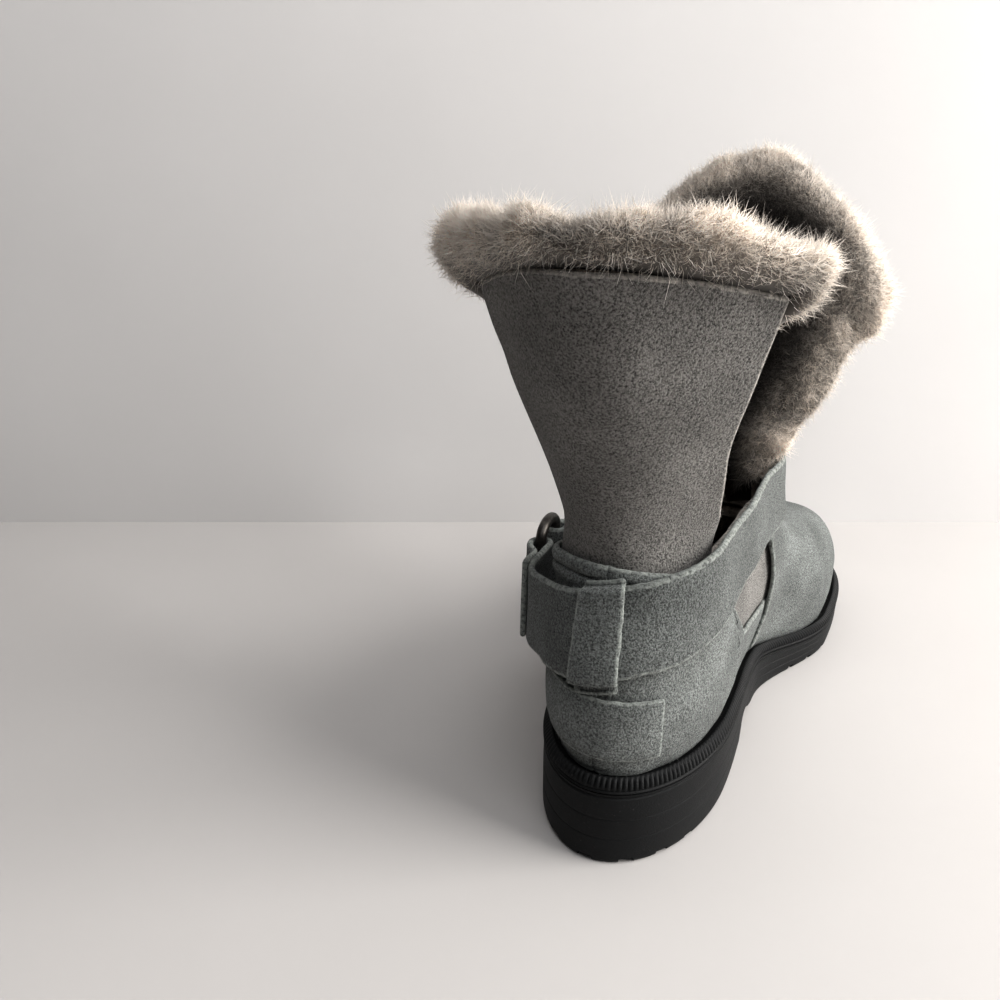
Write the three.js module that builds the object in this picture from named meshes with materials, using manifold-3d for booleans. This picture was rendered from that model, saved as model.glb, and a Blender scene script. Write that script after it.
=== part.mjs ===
// Left short boot in suede and double-face sheepskin, with a block heel and an ankle strap on an oval ring.
// Millimetres, +Z up. X runs from lateral (-) to medial (+), +Y towards the toe. The shape functions below
// use the last's own frame, with y = 0 at the back of the heel; the exported group moves the origin to the
// floor under the centre of the heel.
import * as THREE from "three";
import { mergeVertices } from "three/addons/utils/BufferGeometryUtils.js";
import Module from "manifold-3d";

const wasm = await Module();
wasm.setup();

const { clamp, lerp, smoothstep } = THREE.MathUtils;

// ---------------------------------------------------------------- driving dimensions

const GAP = 0.3; // clearance between pieces that touch
const SOLE_LENGTH = 276;
const HEEL_CENTRE_Y = 38; // the origin, from the back of the heel
const HEEL_SEAT_Z = 33; // feather line at the heel
const BALL_SEAT_Z = 16; // feather line at the ball
const TOE_RISE = 2.5; // feather line at the toe tip, above the ball
const TOE_SPRING = 8.5; // tread at the toe tip, above the floor
const SUEDE = 1.8; // outer suede alone, where the shaft tucks in behind it
const FOOT_WALL = 7.5; // suede and pressed wool
const TUBE_WALL = 5.4; // skin and pressed wool of the shaft, inside the collar
const WOOL = 13; // skin and standing wool of the open shaft
const TUBE_TOP_Z = 101;
const STRAP = { width: 29, thick: 2.4, stand: 1.5 };
const LOOP = { width: 12, thick: 1.8, above: 17.4, below: 20 };
const RING = { height: 47, width: 23, wire: 4.2, straight: 32 };
const RING_SLACK = 8; // how far the strap hangs off the ankle at the ring
const RIVET = { radius: 2.6, rise: 1.1 };
// fan is in radians either side of the back of the heel, and turned in radians from the boot's length.
const HEEL_GROOVE = { count: 7, fan: 1.25, width: 5, length: 22, depth: 2.2 };
const BALL_GROOVE = { count: 5, firstY: 158, pitch: 15, turned: 1.35, width: 4, length: 40, depth: 2.2 };

// Rings of the foot, from the feather line up to the collar: where each starts at the heel and ends at the
// toe or instep, and its half widths at heel, waist and ball on the medial (M) and lateral (L) side.
const FOOT_COLUMNS = "backY backZ frontY frontZ heelM heelL midM midL ballM ballL".split(" ");
const FOOT = [
  [3, 33, 270.5, 18.5, 29, 29, 25, 36, 45.5, 52],
  [1, 42, 271.5, 28, 31, 31, 27.5, 39, 46.5, 53],
  [0.5, 53, 266, 41, 31.5, 32, 29.5, 41, 45, 52.5],
  [1.5, 66, 253, 52, 31, 31.5, 30.5, 41, 40, 48.5],
  [3, 79, 231, 60, 29.5, 31, 30, 39.5, 34.5, 44],
  [5, 90, 199, 67.5, 28, 30, 29, 37, 30, 40],
  [6, 98, 161, 80, 27, 29, 28, 35, 27.5, 37],
  [6.5, 104, 147, 101, 26, 28.5, 27.5, 34, 26, 35.5],
  [6.5, 110, 140.5, 127.5, 25.5, 28, 27, 33, 25, 33.5],
  [4.5, 125, 139.5, 143, 26, 28.5, 27.5, 33, 26, 33.5],
].map((row) => Object.fromEntries(row.map((value, i) => [FOOT_COLUMNS[i], value])));
const FOOT_STATIONS = { heel: 0.205, mid: 0.45, ball: 0.7 };
// Roundness of the front end: each side of the toe, then the rings of the ankle.
const FOOT_NOSE = { medial: 2.8, lateral: 2.2, ankle: 2.9 };
const TIP_X = 3;

// Rows of the two open panels of the shaft, bottom to top: heights and depths on the panel's centre line
// and at its side edges, and where those edges stand in x.
const BACK_PANEL = [
  { zMid: 84, zEdge: 84, yMid: 8.5, yEdge: 40, left: -25.5, right: 24 },
  { zMid: 108, zEdge: 106, yMid: 9.3, yEdge: 39, left: -26.5, right: 25 },
  { zMid: 126, zEdge: 125, yMid: 6, yEdge: 29, left: -29, right: 27.5 },
  { zMid: 150, zEdge: 149, yMid: -5, yEdge: 15, left: -32.5, right: 31.5 },
  { zMid: 175, zEdge: 171, yMid: -15, yEdge: 8, left: -38.5, right: 38 },
  { zMid: 197, zEdge: 190, yMid: -23, yEdge: 4, left: -43.5, right: 43.5 },
];
const FRONT_PANEL = [
  { zMid: 88, zEdge: 84, yMid: 147, yEdge: 121, left: -24.5, right: 22 },
  { zMid: 108, zEdge: 104, yMid: 141, yEdge: 119, left: -25.5, right: 20.5 },
  { zMid: 133, zEdge: 121, yMid: 137.5, yEdge: 122, left: -31, right: 24 },
  { zMid: 160, zEdge: 136, yMid: 141, yEdge: 127, left: -37, right: 34 },
  { zMid: 190, zEdge: 151, yMid: 148, yEdge: 133, left: -42, right: 42 },
  { zMid: 220, zEdge: 167, yMid: 157, yEdge: 138, left: -44, right: 44 },
];
// How far the wool stands past the skin's cut edges (low is the share of side that is left below the top
// corners), and how much it swells past the skin's outer face.
const BACK_WOOL = { top: 15, side: 12, low: 0.3, swell: 2.5 };
const FRONT_WOOL = { top: 17, side: 9, low: 0.85, swell: 2.5 };

// Side view (y, z) of what is cut away above the quarters and the vamp: the open collar and the slot at
// each side.
const COLLAR_CUT = [
  [74, 59], [121, 49], [125, 62], [118, 80], [114, 103], [126, 107], [134, 112], [138, 119], [139.4, 125],
  [139.4, 240], [-60, 240], [-60, 113], [5, 107], [20, 104], [40, 98], [53, 83],
];
// Side view of the space behind the suede that the shaft's tube fills.
const TUCK_TOP_Z = TUBE_TOP_Z + 60;
const TUCK = [
  [-30, 51], [60, 47], [112, 41], [142, 46], [152, 66], [160, 120], [160, TUCK_TOP_Z], [-30, TUCK_TOP_Z],
];

// ---------------------------------------------------------------- tables and surfaces

// A smooth value of one column between the rows of a table; at counts rows, from 0.
function column(rows, name, at) {
  const i = clamp(Math.floor(at), 0, rows.length - 2);
  const value = (k) => rows[clamp(k, 0, rows.length - 1)][name];
  const f = at - i;
  const start = value(i);
  const end = value(i + 1);
  const slopeStart = (end - value(i - 1)) / 2;
  const slopeEnd = (value(i + 2) - start) / 2;
  const a = 2 * (start - end) + slopeStart + slopeEnd;
  const b = 3 * (end - start) - 2 * slopeStart - slopeEnd;
  return ((a * f + b) * f + slopeStart) * f + start;
}

// Height of the feather line, where the upper meets the sole.
function featherZ(y) {
  const toe = Math.max(0, (y - 195) / (SOLE_LENGTH - 195));
  return lerp(HEEL_SEAT_Z, BALL_SEAT_Z, smoothstep(y, 62, 178)) + TOE_RISE * toe * toe;
}

// Half width of a shoe outline at t, from 0 at the back to 1 at the front.
function halfWidth(t, heel, mid, ball, noseRoundness, stations = FOOT_STATIONS) {
  if (t < stations.heel) return heel * Math.sqrt(Math.max(0, 1 - (1 - t / stations.heel) ** 2));
  if (t < stations.mid) return lerp(heel, mid, smoothstep(t, stations.heel, stations.mid));
  if (t < stations.ball) return lerp(mid, ball, smoothstep(t, stations.mid, stations.ball));
  const nose = clamp((t - stations.ball) / (1 - stations.ball), 0, 1);
  return ball * (1 - nose ** noseRoundness) ** (1 / noseRoundness);
}

// The foot's outer surface. level counts the rows of FOOT, and turn is 0 at the heel, 0.25 medial, 0.5 in
// front and 0.75 lateral.
function footPoint(level, turn) {
  const at = (name) => column(FOOT, name, level);
  const phi = 2 * Math.PI * (turn - Math.floor(turn));
  const t = (1 - Math.cos(phi)) / 2;
  const medial = phi <= Math.PI;
  const side = medial ? "M" : "L";
  const toeShape = medial ? FOOT_NOSE.medial : FOOT_NOSE.lateral;
  const nose = lerp(toeShape, FOOT_NOSE.ankle, smoothstep(level, 3, 6));
  const width = halfWidth(t, at("heel" + side), at("mid" + side), at("ball" + side), nose);
  const y = lerp(at("backY"), at("frontY"), t);
  const straight = lerp(at("backZ"), at("frontZ"), t);
  const sag = (1 - smoothstep(level, 0, 3.5)) * (featherZ(y) - lerp(FOOT[0].backZ, FOOT[0].frontZ, t));
  const x = (medial ? width : -width) + TIP_X * smoothstep(t, 0.5, 1);
  return new THREE.Vector3(x, y, straight + sag);
}

// Unit normal of a surface given as a function of two numbers, on the side of cross(d/du, d/dv).
function normalOf(surface, u, v, du, dv) {
  const alongU = surface(u + du, v).sub(surface(u - du, v));
  const alongV = surface(u, v + dv).sub(surface(u, v - dv));
  return alongU.cross(alongV).normalize();
}

function footNormal(level, turn) {
  return normalOf((k, l) => footPoint(clamp(l, 0, FOOT.length - 1), k), turn, level, 0.004, 0.05);
}

// A point set inwards from the foot's outer surface.
function insideFoot(level, turn, depth) {
  return footPoint(level, turn).addScaledVector(footNormal(level, turn), -depth);
}

// A panel's skin: s runs -1 to 1 across it, t 0 to 1 up it.
function panelPoint(rows, dome, s, t) {
  const at = (name) => column(rows, name, clamp(t, 0, 1) * (rows.length - 1));
  const arch = dome ? Math.sqrt(Math.max(0, 1 - s * s)) : 1 - s * s;
  const x = lerp(at("left"), at("right"), (s + 1) / 2);
  const y = lerp(at("yEdge"), at("yMid"), 1 - s * s);
  return new THREE.Vector3(x, y, lerp(at("zEdge"), at("zMid"), arch));
}

// ---------------------------------------------------------------- solids

function solidOf(geometry) {
  const bare = geometry.index ? geometry.toNonIndexed() : geometry.clone();
  for (const name of Object.keys(bare.attributes)) if (name !== "position") bare.deleteAttribute(name);
  const merged = mergeVertices(bare, 1e-4);
  const made = new wasm.Manifold(
    new wasm.Mesh({
      numProp: 3,
      vertProperties: merged.attributes.position.array,
      triVerts: new Uint32Array(merged.index.array),
    }),
  );
  if (made.volume() <= 0) throw new Error("a solid is inside out");
  return made;
}

function geometryOf(solid) {
  const mesh = solid.getMesh();
  const geometry = new THREE.BufferGeometry();
  const points = new Float32Array(mesh.numVert * 3);
  for (let i = 0; i < mesh.numVert; i++) {
    points.set(mesh.vertProperties.subarray(i * mesh.numProp, i * mesh.numProp + 3), i * 3);
  }
  geometry.setAttribute("position", new THREE.BufferAttribute(points, 3));
  geometry.setIndex(new THREE.BufferAttribute(mesh.triVerts, 1));
  geometry.computeVertexNormals();
  return geometry;
}

// A closed solid through loops of equal length: the loops follow each other, and the ends are joined or
// capped.
function loftSolid(loops, joined) {
  const positions = loops.flat().flatMap((p) => [p.x, p.y, p.z]);
  const across = loops[0].length;
  const index = [];
  const quad = (a, b, c, d) => index.push(a, b, c, a, c, d);
  const last = joined ? loops.length : loops.length - 1;
  for (let i = 0; i < last; i++) {
    const next = (i + 1) % loops.length;
    for (let j = 0; j < across; j++) {
      const k = (j + 1) % across;
      quad(i * across + j, i * across + k, next * across + k, next * across + j);
    }
  }
  // Loops are symmetric pairs (j and across - 1 - j), so an end is capped by a strip across it.
  const cap = (at, flip) => {
    for (let j = 0; j < across / 2 - 1; j++) {
      const pair = [at + j, at + j + 1, at + across - 2 - j, at + across - 1 - j];
      if (flip) pair.reverse();
      quad(...pair);
    }
  };
  if (!joined) {
    cap(0, true);
    cap((loops.length - 1) * across, false);
  }
  const geometry = new THREE.BufferGeometry();
  geometry.setAttribute("position", new THREE.BufferAttribute(new Float32Array(positions), 3));
  geometry.setIndex(index);
  try {
    return solidOf(geometry);
  } catch {
    geometry.setIndex(index.reverse());
    return solidOf(geometry);
  }
}

// A prism over a side view outline of (y, z) points, from x = from to x = to.
function sidePrism(outline, from, to) {
  const shape = new THREE.Shape(outline.map(([y, z]) => new THREE.Vector2(y, z)));
  const geometry = new THREE.ExtrudeGeometry(shape, { depth: to - from, bevelEnabled: false });
  // The shape's x, y and the extrusion become y, z and x.
  geometry.applyMatrix4(new THREE.Matrix4().set(0, 0, 1, from, 1, 0, 0, 0, 0, 1, 0, 0, 0, 0, 0, 1));
  return solidOf(geometry);
}

const TURNS = 42;
const turnAt = (j) => j / TURNS;

// The foot's wall between two depths, from one level to another, in half levels so that neighbours' facets
// match.
function footShell(outer, inner, fromLevel, toLevel) {
  const steps = Math.round(2 * (toLevel - fromLevel));
  const loops = [];
  for (let j = 0; j < TURNS; j++) {
    const loop = [];
    for (let i = 0; i <= steps; i++) loop.push(insideFoot(fromLevel + i / 2, turnAt(j), outer));
    for (let i = steps; i >= 0; i--) loop.push(insideFoot(fromLevel + i / 2, turnAt(j), inner));
    loops.push(loop);
  }
  return loftSolid(loops, true);
}

// ---------------------------------------------------------------- upper and shaft

const TOP_LEVEL = FOOT.length - 2; // the collar; the last row only guides the strap and the panels
const LAST_LEVEL = FOOT.length - 1;

function makeUpper() {
  const wall = footShell(0, FOOT_WALL, 0, TOP_LEVEL);
  const recess = footShell(SUEDE, FOOT_WALL + 4, 0.5, TOP_LEVEL).intersect(sidePrism(TUCK, -90, 90));
  const collar = sidePrism(COLLAR_CUT, -90, 90);
  const above = sidePrism([[-60, 100], [300, 100], [300, 240], [-60, 240]], -90, 90);
  // Above the tube the suede stands alone, so the wool is taken out to the rim there.
  const rim = footShell(SUEDE, FOOT_WALL + 12, 5, TOP_LEVEL).intersect(above);
  return wall.subtract(recess).subtract(collar).subtract(rim);
}

function makeTube() {
  const shell = footShell(SUEDE + GAP, SUEDE + GAP + TUBE_WALL, 0.5, TOP_LEVEL);
  const tuck = TUCK.map(([y, z]) => [y - Math.sign(y - 60) * GAP, z + (z < 60 ? GAP : 0)]);
  const below = sidePrism([[-60, 0], [300, 0], [300, TUBE_TOP_Z], [-60, TUBE_TOP_Z]], -90, 90);
  return shell.intersect(sidePrism(tuck, -89, 89)).intersect(below);
}

// A panel of double-face sheepskin as a pillow: the skin's face outside, and the wool behind it and past
// its edges. inwards is 1 where the surface's own normal points to the leg, and -1 where it points away.
function makePanel({ rows, dome, wool, inwards, acrossSteps, upSteps }) {
  const skin = (s, t) => panelPoint(rows, dome, s, t);
  const sideSteps = 2;
  const topSteps = 3;
  const point = (i, j, outer) => {
    // Grid position as a share of the panel, and how far past the skin's edge it is, 0 to 1.
    const pastSide = Math.max(0, Math.abs(i) - acrossSteps / 2) / sideSteps;
    const pastTop = Math.max(0, j - upSteps) / topSteps;
    const s = Math.sin((clamp(i / (acrossSteps / 2), -1, 1) * Math.PI) / 2) * 0.985;
    const t = Math.min(1, j / upSteps);
    // The square rim corner is drawn in to a round one.
    const sideShare = pastSide * Math.sqrt(1 - (pastTop * pastTop) / 2);
    const topShare = pastTop * Math.sqrt(1 - (pastSide * pastSide) / 2);
    const past = Math.min(1, Math.hypot(sideShare, topShare));
    const normal = normalOf(skin, clamp(s, -0.97, 0.97), clamp(t, 0.02, 0.98), 0.02, 0.02);
    normal.multiplyScalar(inwards);
    const across = skin(Math.sign(i) * 0.985, t).sub(skin(Math.sign(i) * 0.93, t)).normalize();
    const up = skin(s, 1).sub(skin(s, 0.96)).normalize();
    const edge = Math.sqrt(Math.max(0, 1 - past * past));
    const swell = wool.swell * smoothstep(past, 0, 0.3);
    const middle = WOOL / 2;
    const depth = outer ? middle - (middle + swell) * edge : middle + middle * edge;
    const side = wool.side * lerp(wool.low, 1, smoothstep(t, 0.55, 1)) * smoothstep(t, 0, 0.35);
    return skin(s, t)
      .addScaledVector(across, side * sideShare)
      .addScaledVector(up, wool.top * topShare)
      .addScaledVector(normal, depth);
  };
  const half = acrossSteps / 2 + sideSteps;
  const rowsUp = upSteps + topSteps;
  const loops = [];
  for (let i = -half; i <= half; i++) {
    const loop = [];
    for (let j = 0; j <= rowsUp; j++) loop.push(point(i, j, true));
    for (let j = rowsUp; j >= 0; j--) loop.push(point(i, j, false));
    loops.push(loop);
  }
  return loftSolid(loops, false);
}

// The panels stay behind the suede's rim and behind the strap.
function makeShaft() {
  const back = makePanel({
    rows: BACK_PANEL, dome: false, wool: BACK_WOOL, inwards: 1, acrossSteps: 12, upSteps: 9,
  });
  const front = makePanel({
    rows: FRONT_PANEL, dome: true, wool: FRONT_WOOL, inwards: -1, acrossSteps: 14, upSteps: 10,
  });
  const outside = footShell(-16, SUEDE + GAP, 0.5, LAST_LEVEL);
  const collar = (shift) => sidePrism(COLLAR_CUT, -90, 90).translate(0, shift, 1.5 * GAP);
  const belowCollar = outside.subtract(collar(GAP).intersect(collar(-GAP)));
  const band = footShell(-16, STRAP.stand - 2 * GAP, 0.5, LAST_LEVEL).intersect(strapZone());
  return makeTube().add(back.add(front).subtract(belowCollar).subtract(band));
}

// Everything at the strap's height, with a gap above and below it.
function strapZone() {
  const half = STRAP.width / 2 + 1.6;
  const loops = [];
  for (let j = 0; j < TURNS; j++) {
    const z = strapZ(turnAt(j));
    const at = footPoint(levelAt(turnAt(j), z), turnAt(j));
    const out = new THREE.Vector3(at.x * 1.9, lerp(75, at.y, 1.6), z);
    const inner = new THREE.Vector3(at.x * 0.1, lerp(75, at.y, 0.1), z);
    const shifted = (p, dz) => p.clone().setZ(p.z + dz);
    loops.push([shifted(out, -half), shifted(out, half), shifted(inner, half), shifted(inner, -half)]);
  }
  return loftSolid(loops, true);
}

// ---------------------------------------------------------------- sole

// An outline of the sole: pairs of medial and lateral points at the same stations, offset out by grow.
function soleOutline(grow, z, count = 30) {
  const medial = [];
  const lateral = [];
  for (let i = 0; i <= count; i++) {
    const phi = (Math.PI * i) / count;
    const t = (1 - Math.cos(phi)) / 2;
    const y = lerp(2.5 - grow, SOLE_LENGTH - 5.5 + grow, t);
    const shift = TIP_X * smoothstep(t, 0.5, 1);
    const { heelM, heelL, midM, midL, ballM, ballL } = FOOT[0];
    const m = halfWidth(t, heelM + grow, midM + grow, ballM + grow, FOOT_NOSE.medial);
    const l = halfWidth(t, heelL + grow, midL + grow, ballL + grow, FOOT_NOSE.lateral);
    const end = i === 0 || i === count ? 1.2 : 0;
    medial.push(new THREE.Vector3(shift + Math.max(m, end), y, z(y)));
    lateral.push(new THREE.Vector3(shift - Math.max(l, end), y, z(y)));
  }
  return [...medial, ...lateral.reverse()];
}

const WELT = { out: 5, lip: 2, under: 3.3 };
const treadZ = (y) => TOE_SPRING * Math.max(0, (y - 205) / (SOLE_LENGTH - 205)) ** 2;

function makeOutsole() {
  const top = WELT.under + 1.5 * GAP;
  const body = loftSolid(
    [
      soleOutline(3.2, (y) => treadZ(y)),
      soleOutline(4.6, (y) => treadZ(y) + 1.6),
      soleOutline(4.4, (y) => featherZ(y) - top - 2),
      soleOutline(4.8, (y) => featherZ(y) - top),
    ],
    false,
  );
  return treadCuts().reduce((solid, cut) => solid.subtract(cut), body);
}

// The arch between heel and ball, and the grooves that leave the lugs of heel and forefoot.
function treadCuts() {
  const arch = new THREE.Shape();
  arch.moveTo(86, -5);
  arch.lineTo(88, 11);
  arch.quadraticCurveTo(92, 14, 99, 11);
  arch.quadraticCurveTo(115, 4, 130, -0.01);
  arch.lineTo(130, -5);
  const outline = arch.getPoints(5).map((p) => [p.x, p.y]);
  const cuts = [sidePrism(outline, -90, 90)];
  const groove = (x, y, angle, { width, length, depth }) => {
    const box = new THREE.BoxGeometry(width, length, 2 * depth);
    box.applyMatrix4(new THREE.Matrix4().makeRotationZ(angle).setPosition(x, y, 0));
    cuts.push(solidOf(box));
  };
  for (let i = 0; i < HEEL_GROOVE.count; i++) {
    const angle = lerp(-HEEL_GROOVE.fan, HEEL_GROOVE.fan, i / (HEEL_GROOVE.count - 1));
    groove(27 * Math.sin(angle), 36 - 30 * Math.cos(angle), angle, HEEL_GROOVE);
  }
  for (let i = 0; i < BALL_GROOVE.count; i++) {
    const y = BALL_GROOVE.firstY + BALL_GROOVE.pitch * i;
    const depth = BALL_GROOVE.depth + treadZ(y);
    for (const side of [-1, 1]) groove(side * 38, y, side * BALL_GROOVE.turned, { ...BALL_GROOVE, depth });
  }
  return cuts;
}

function makeWelt() {
  const loops = [];
  const rim = (grow, z) => soleOutline(grow, z);
  const rings = [
    rim(-5.5, (y) => featherZ(y) - WELT.under),
    rim(WELT.out, (y) => featherZ(y) - WELT.under),
    rim(WELT.out, (y) => featherZ(y) - 0.6),
    rim(2.6, (y) => featherZ(y) + WELT.lip),
    rim(1.9, (y) => featherZ(y) + WELT.lip - 0.4),
    rim(1.2, (y) => featherZ(y) - 2 * GAP),
    rim(-5.5, (y) => featherZ(y) - 2 * GAP),
  ];
  for (let j = 0; j < rings[0].length; j++) loops.push(rings.map((ring) => ring[j]));
  return loftSolid(loops, true);
}

function makeInsole() {
  const grow = -FOOT_WALL - 2.3;
  return loftSolid(
    [
      soleOutline(grow, (y) => featherZ(y) - WELT.under + 0.15, 20),
      soleOutline(grow, (y) => featherZ(y) + 1.5, 20),
      soleOutline(grow - 1.5, (y) => featherZ(y) + 4, 20),
    ],
    false,
  );
}

// ---------------------------------------------------------------- strap, loops, ring and rivets

// Height of the strap's centre line: it climbs on the medial side and dips towards the ring.
function strapZ(turn) {
  const phi = 2 * Math.PI * turn;
  return 88.9 + 13.2 * Math.sin(phi) - 4.5 * Math.cos(phi) + 1.6 * Math.cos(2 * phi);
}

// The foot's level at a given height on one line up the foot.
function levelAt(turn, z) {
  let low = 0;
  let high = LAST_LEVEL;
  for (let i = 0; i < 30; i++) {
    const mid = (low + high) / 2;
    if (footPoint(mid, turn).z < z) low = mid;
    else high = mid;
  }
  return (low + high) / 2;
}

// Turn against distance along the strap's centre line, measured from the back of the heel.
const BAND_STEPS = 240;
const BAND = (() => {
  const lengths = [0];
  let before = footPoint(levelAt(0, strapZ(0)), 0);
  for (let i = 1; i <= BAND_STEPS; i++) {
    const turn = i / BAND_STEPS;
    const here = footPoint(levelAt(turn, strapZ(turn)), turn);
    lengths.push(lengths[i - 1] + here.distanceTo(before));
    before = here;
  }
  return lengths;
})();
const BAND_LENGTH = BAND[BAND_STEPS];

function turnAtDistance(distance) {
  const wrapped = ((distance % BAND_LENGTH) + BAND_LENGTH) % BAND_LENGTH;
  let i = BAND.findIndex((length) => length > wrapped);
  if (i < 1) i = BAND_STEPS;
  return (i - 1 + (wrapped - BAND[i - 1]) / (BAND[i] - BAND[i - 1])) / BAND_STEPS;
}

// The ring sits where the band passes the lateral ankle.
const RING_AT = -BAND_LENGTH * 0.2;

// Distance from the ring along the band, the short way round.
function fromRing(distance) {
  const round = (distance - RING_AT) / BAND_LENGTH;
  return (round - Math.round(round)) * BAND_LENGTH;
}

// A point on the foot's surface at a straight distance up or down from the strap's centre line.
function besideStrap(turn, up) {
  const centre = levelAt(turn, strapZ(turn));
  const from = footPoint(centre, turn);
  let near = centre;
  let far = up > 0 ? LAST_LEVEL : Math.max(0, centre - 4);
  for (let i = 0; i < 26; i++) {
    const mid = (near + far) / 2;
    if (footPoint(mid, turn).distanceTo(from) < Math.abs(up)) near = mid;
    else far = mid;
  }
  return footPoint(near, turn);
}

// A point that follows the ankle, by distance along the strap, height above its centre line and height off
// the foot. The strap is straight across where the foot is hollow.
function onAnkle(distance, up, off) {
  const turn = turnAtDistance(distance);
  const away = footNormal(levelAt(turn, strapZ(turn) + up / 2), turn);
  away.z *= 0.3;
  away.normalize();
  const half = STRAP.width / 2;
  const surface = besideStrap(turn, up);
  const share = clamp(up / STRAP.width + 0.5, 0, 1);
  const straight = besideStrap(turn, -half).lerp(besideStrap(turn, half), share);
  const hollow = Math.abs(up) < half ? Math.max(0, straight.sub(surface).dot(away)) : 0;
  const slack = RING_SLACK * Math.exp(-((fromRing(distance) / 36) ** 2));
  return surface.addScaledVector(away, off + slack + hollow);
}

// The flat frame of the ring, which the strap's folded ends share.
const RING_FRAME = (() => {
  const along = onAnkle(RING_AT + 9, 0, 0).sub(onAnkle(RING_AT - 9, 0, 0)).normalize();
  const up = onAnkle(RING_AT, 14, 0).sub(onAnkle(RING_AT, -14, 0));
  up.addScaledVector(along, -up.dot(along)).normalize();
  return { centre: onAnkle(RING_AT, 0, 0), along, up, out: along.clone().cross(up) };
})();

// A point on the strap: flat beside the ring, following the ankle further away.
function onBand(distance, up, off) {
  const near = fromRing(distance);
  const flat = RING_FRAME.centre
    .clone()
    .addScaledVector(RING_FRAME.along, near)
    .addScaledVector(RING_FRAME.up, up)
    .addScaledVector(RING_FRAME.out, off);
  return onAnkle(distance, up, off).lerp(flat, 1 - smoothstep(Math.abs(near), 28, 48));
}

// Both sides of a flat path thickened by thick: path is a list of [along, off].
function thicken(path, thick) {
  return path.map(([a, b], i) => {
    const [a0, b0] = path[Math.max(0, i - 1)];
    const [a1, b1] = path[Math.min(path.length - 1, i + 1)];
    const length = Math.hypot(a1 - a0, b1 - b0);
    const [na, nb] = [-(b1 - b0) / length, (a1 - a0) / length];
    return [
      [a + (na * thick) / 2, b + (nb * thick) / 2],
      [a - (na * thick) / 2, b - (nb * thick) / 2],
    ];
  });
}

const STRAP_OFF = STRAP.stand + STRAP.thick / 2;
const RING_OFF = STRAP.stand + STRAP.thick + 0.4 + RING.wire / 2;
const FOLD_OFF = 2 * RING_OFF - STRAP_OFF; // the layer outside the ring's bar
const LAP_OFF = STRAP_OFF + STRAP.thick + GAP; // the same layer where it lies on the strap
const BAR = RING.width / 2 - RING.wire / 2; // the ring's bars, either side of its centre

// One folded end of the strap, from its cut edge to where the strap leaves the ring. way is 1 for the end
// that comes from the heel and -1 for the end that comes from the instep.
function foldedEnd(way) {
  const radius = (FOLD_OFF - STRAP_OFF) / 2;
  const from = (reach) => RING_AT + way * reach;
  const path = [
    [from(BAR + 22), LAP_OFF],
    [from(BAR + 16), LAP_OFF],
    [from(BAR + 11), LAP_OFF],
    [from(BAR + 7.5), lerp(LAP_OFF, FOLD_OFF, 0.5)],
    [from(BAR + 3.5), lerp(LAP_OFF, FOLD_OFF, 0.94)],
  ];
  for (let i = 0; i <= 6; i++) {
    const angle = (Math.PI * i) / 6;
    path.push([from(BAR - Math.sin(angle) * radius), RING_OFF + Math.cos(angle) * radius]);
  }
  path.push([from(BAR + 8), STRAP_OFF]);
  return path;
}

function makeStrap() {
  const fromHeel = foldedEnd(1);
  const fromInstep = foldedEnd(-1);
  const start = fromHeel.at(-1)[0];
  const end = fromInstep.at(-1)[0] + BAND_LENGTH;
  const steps = 42;
  const path = [...fromHeel];
  for (let i = 1; i < steps; i++) path.push([lerp(start, end, i / steps), STRAP_OFF]);
  path.push(...fromInstep.reverse().map(([a, b]) => [a + BAND_LENGTH, b]));
  const across = [-1, -0.5, 0, 0.5, 1].map((share) => (share * STRAP.width) / 2);
  const loops = thicken(path, STRAP.thick).map(([one, other]) => [
    ...across.map((up) => onBand(one[0], up, one[1])),
    ...across.toReversed().map((up) => onBand(other[0], up, other[1])),
  ]);
  return loftSolid(loops, false);
}

// A loop of suede over the strap, centred at a distance along the band.
function makeLoop(distance) {
  const high = STRAP.width / 2;
  const low = STRAP.stand + LOOP.thick / 2;
  const over = STRAP.stand + STRAP.thick + 2 * GAP + LOOP.thick / 2;
  const path = [
    [-LOOP.below, low], [-high - 2.1, low], [-high - 0.7, over], [-high + 1, over], [-high * 0.5, over],
    [0, over],
    [high * 0.5, over], [high - 1, over], [high + 0.7, over], [high + 2.1, low], [LOOP.above, low],
  ];
  const half = LOOP.width / 2;
  const loops = thicken(path, LOOP.thick).map(([one, other]) => [
    onBand(distance - half, one[0], one[1]),
    onBand(distance, one[0], one[1]),
    onBand(distance + half, one[0], one[1]),
    onBand(distance + half, other[0], other[1]),
    onBand(distance, other[0], other[1]),
    onBand(distance - half, other[0], other[1]),
  ]);
  return loftSolid(loops, false);
}

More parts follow.
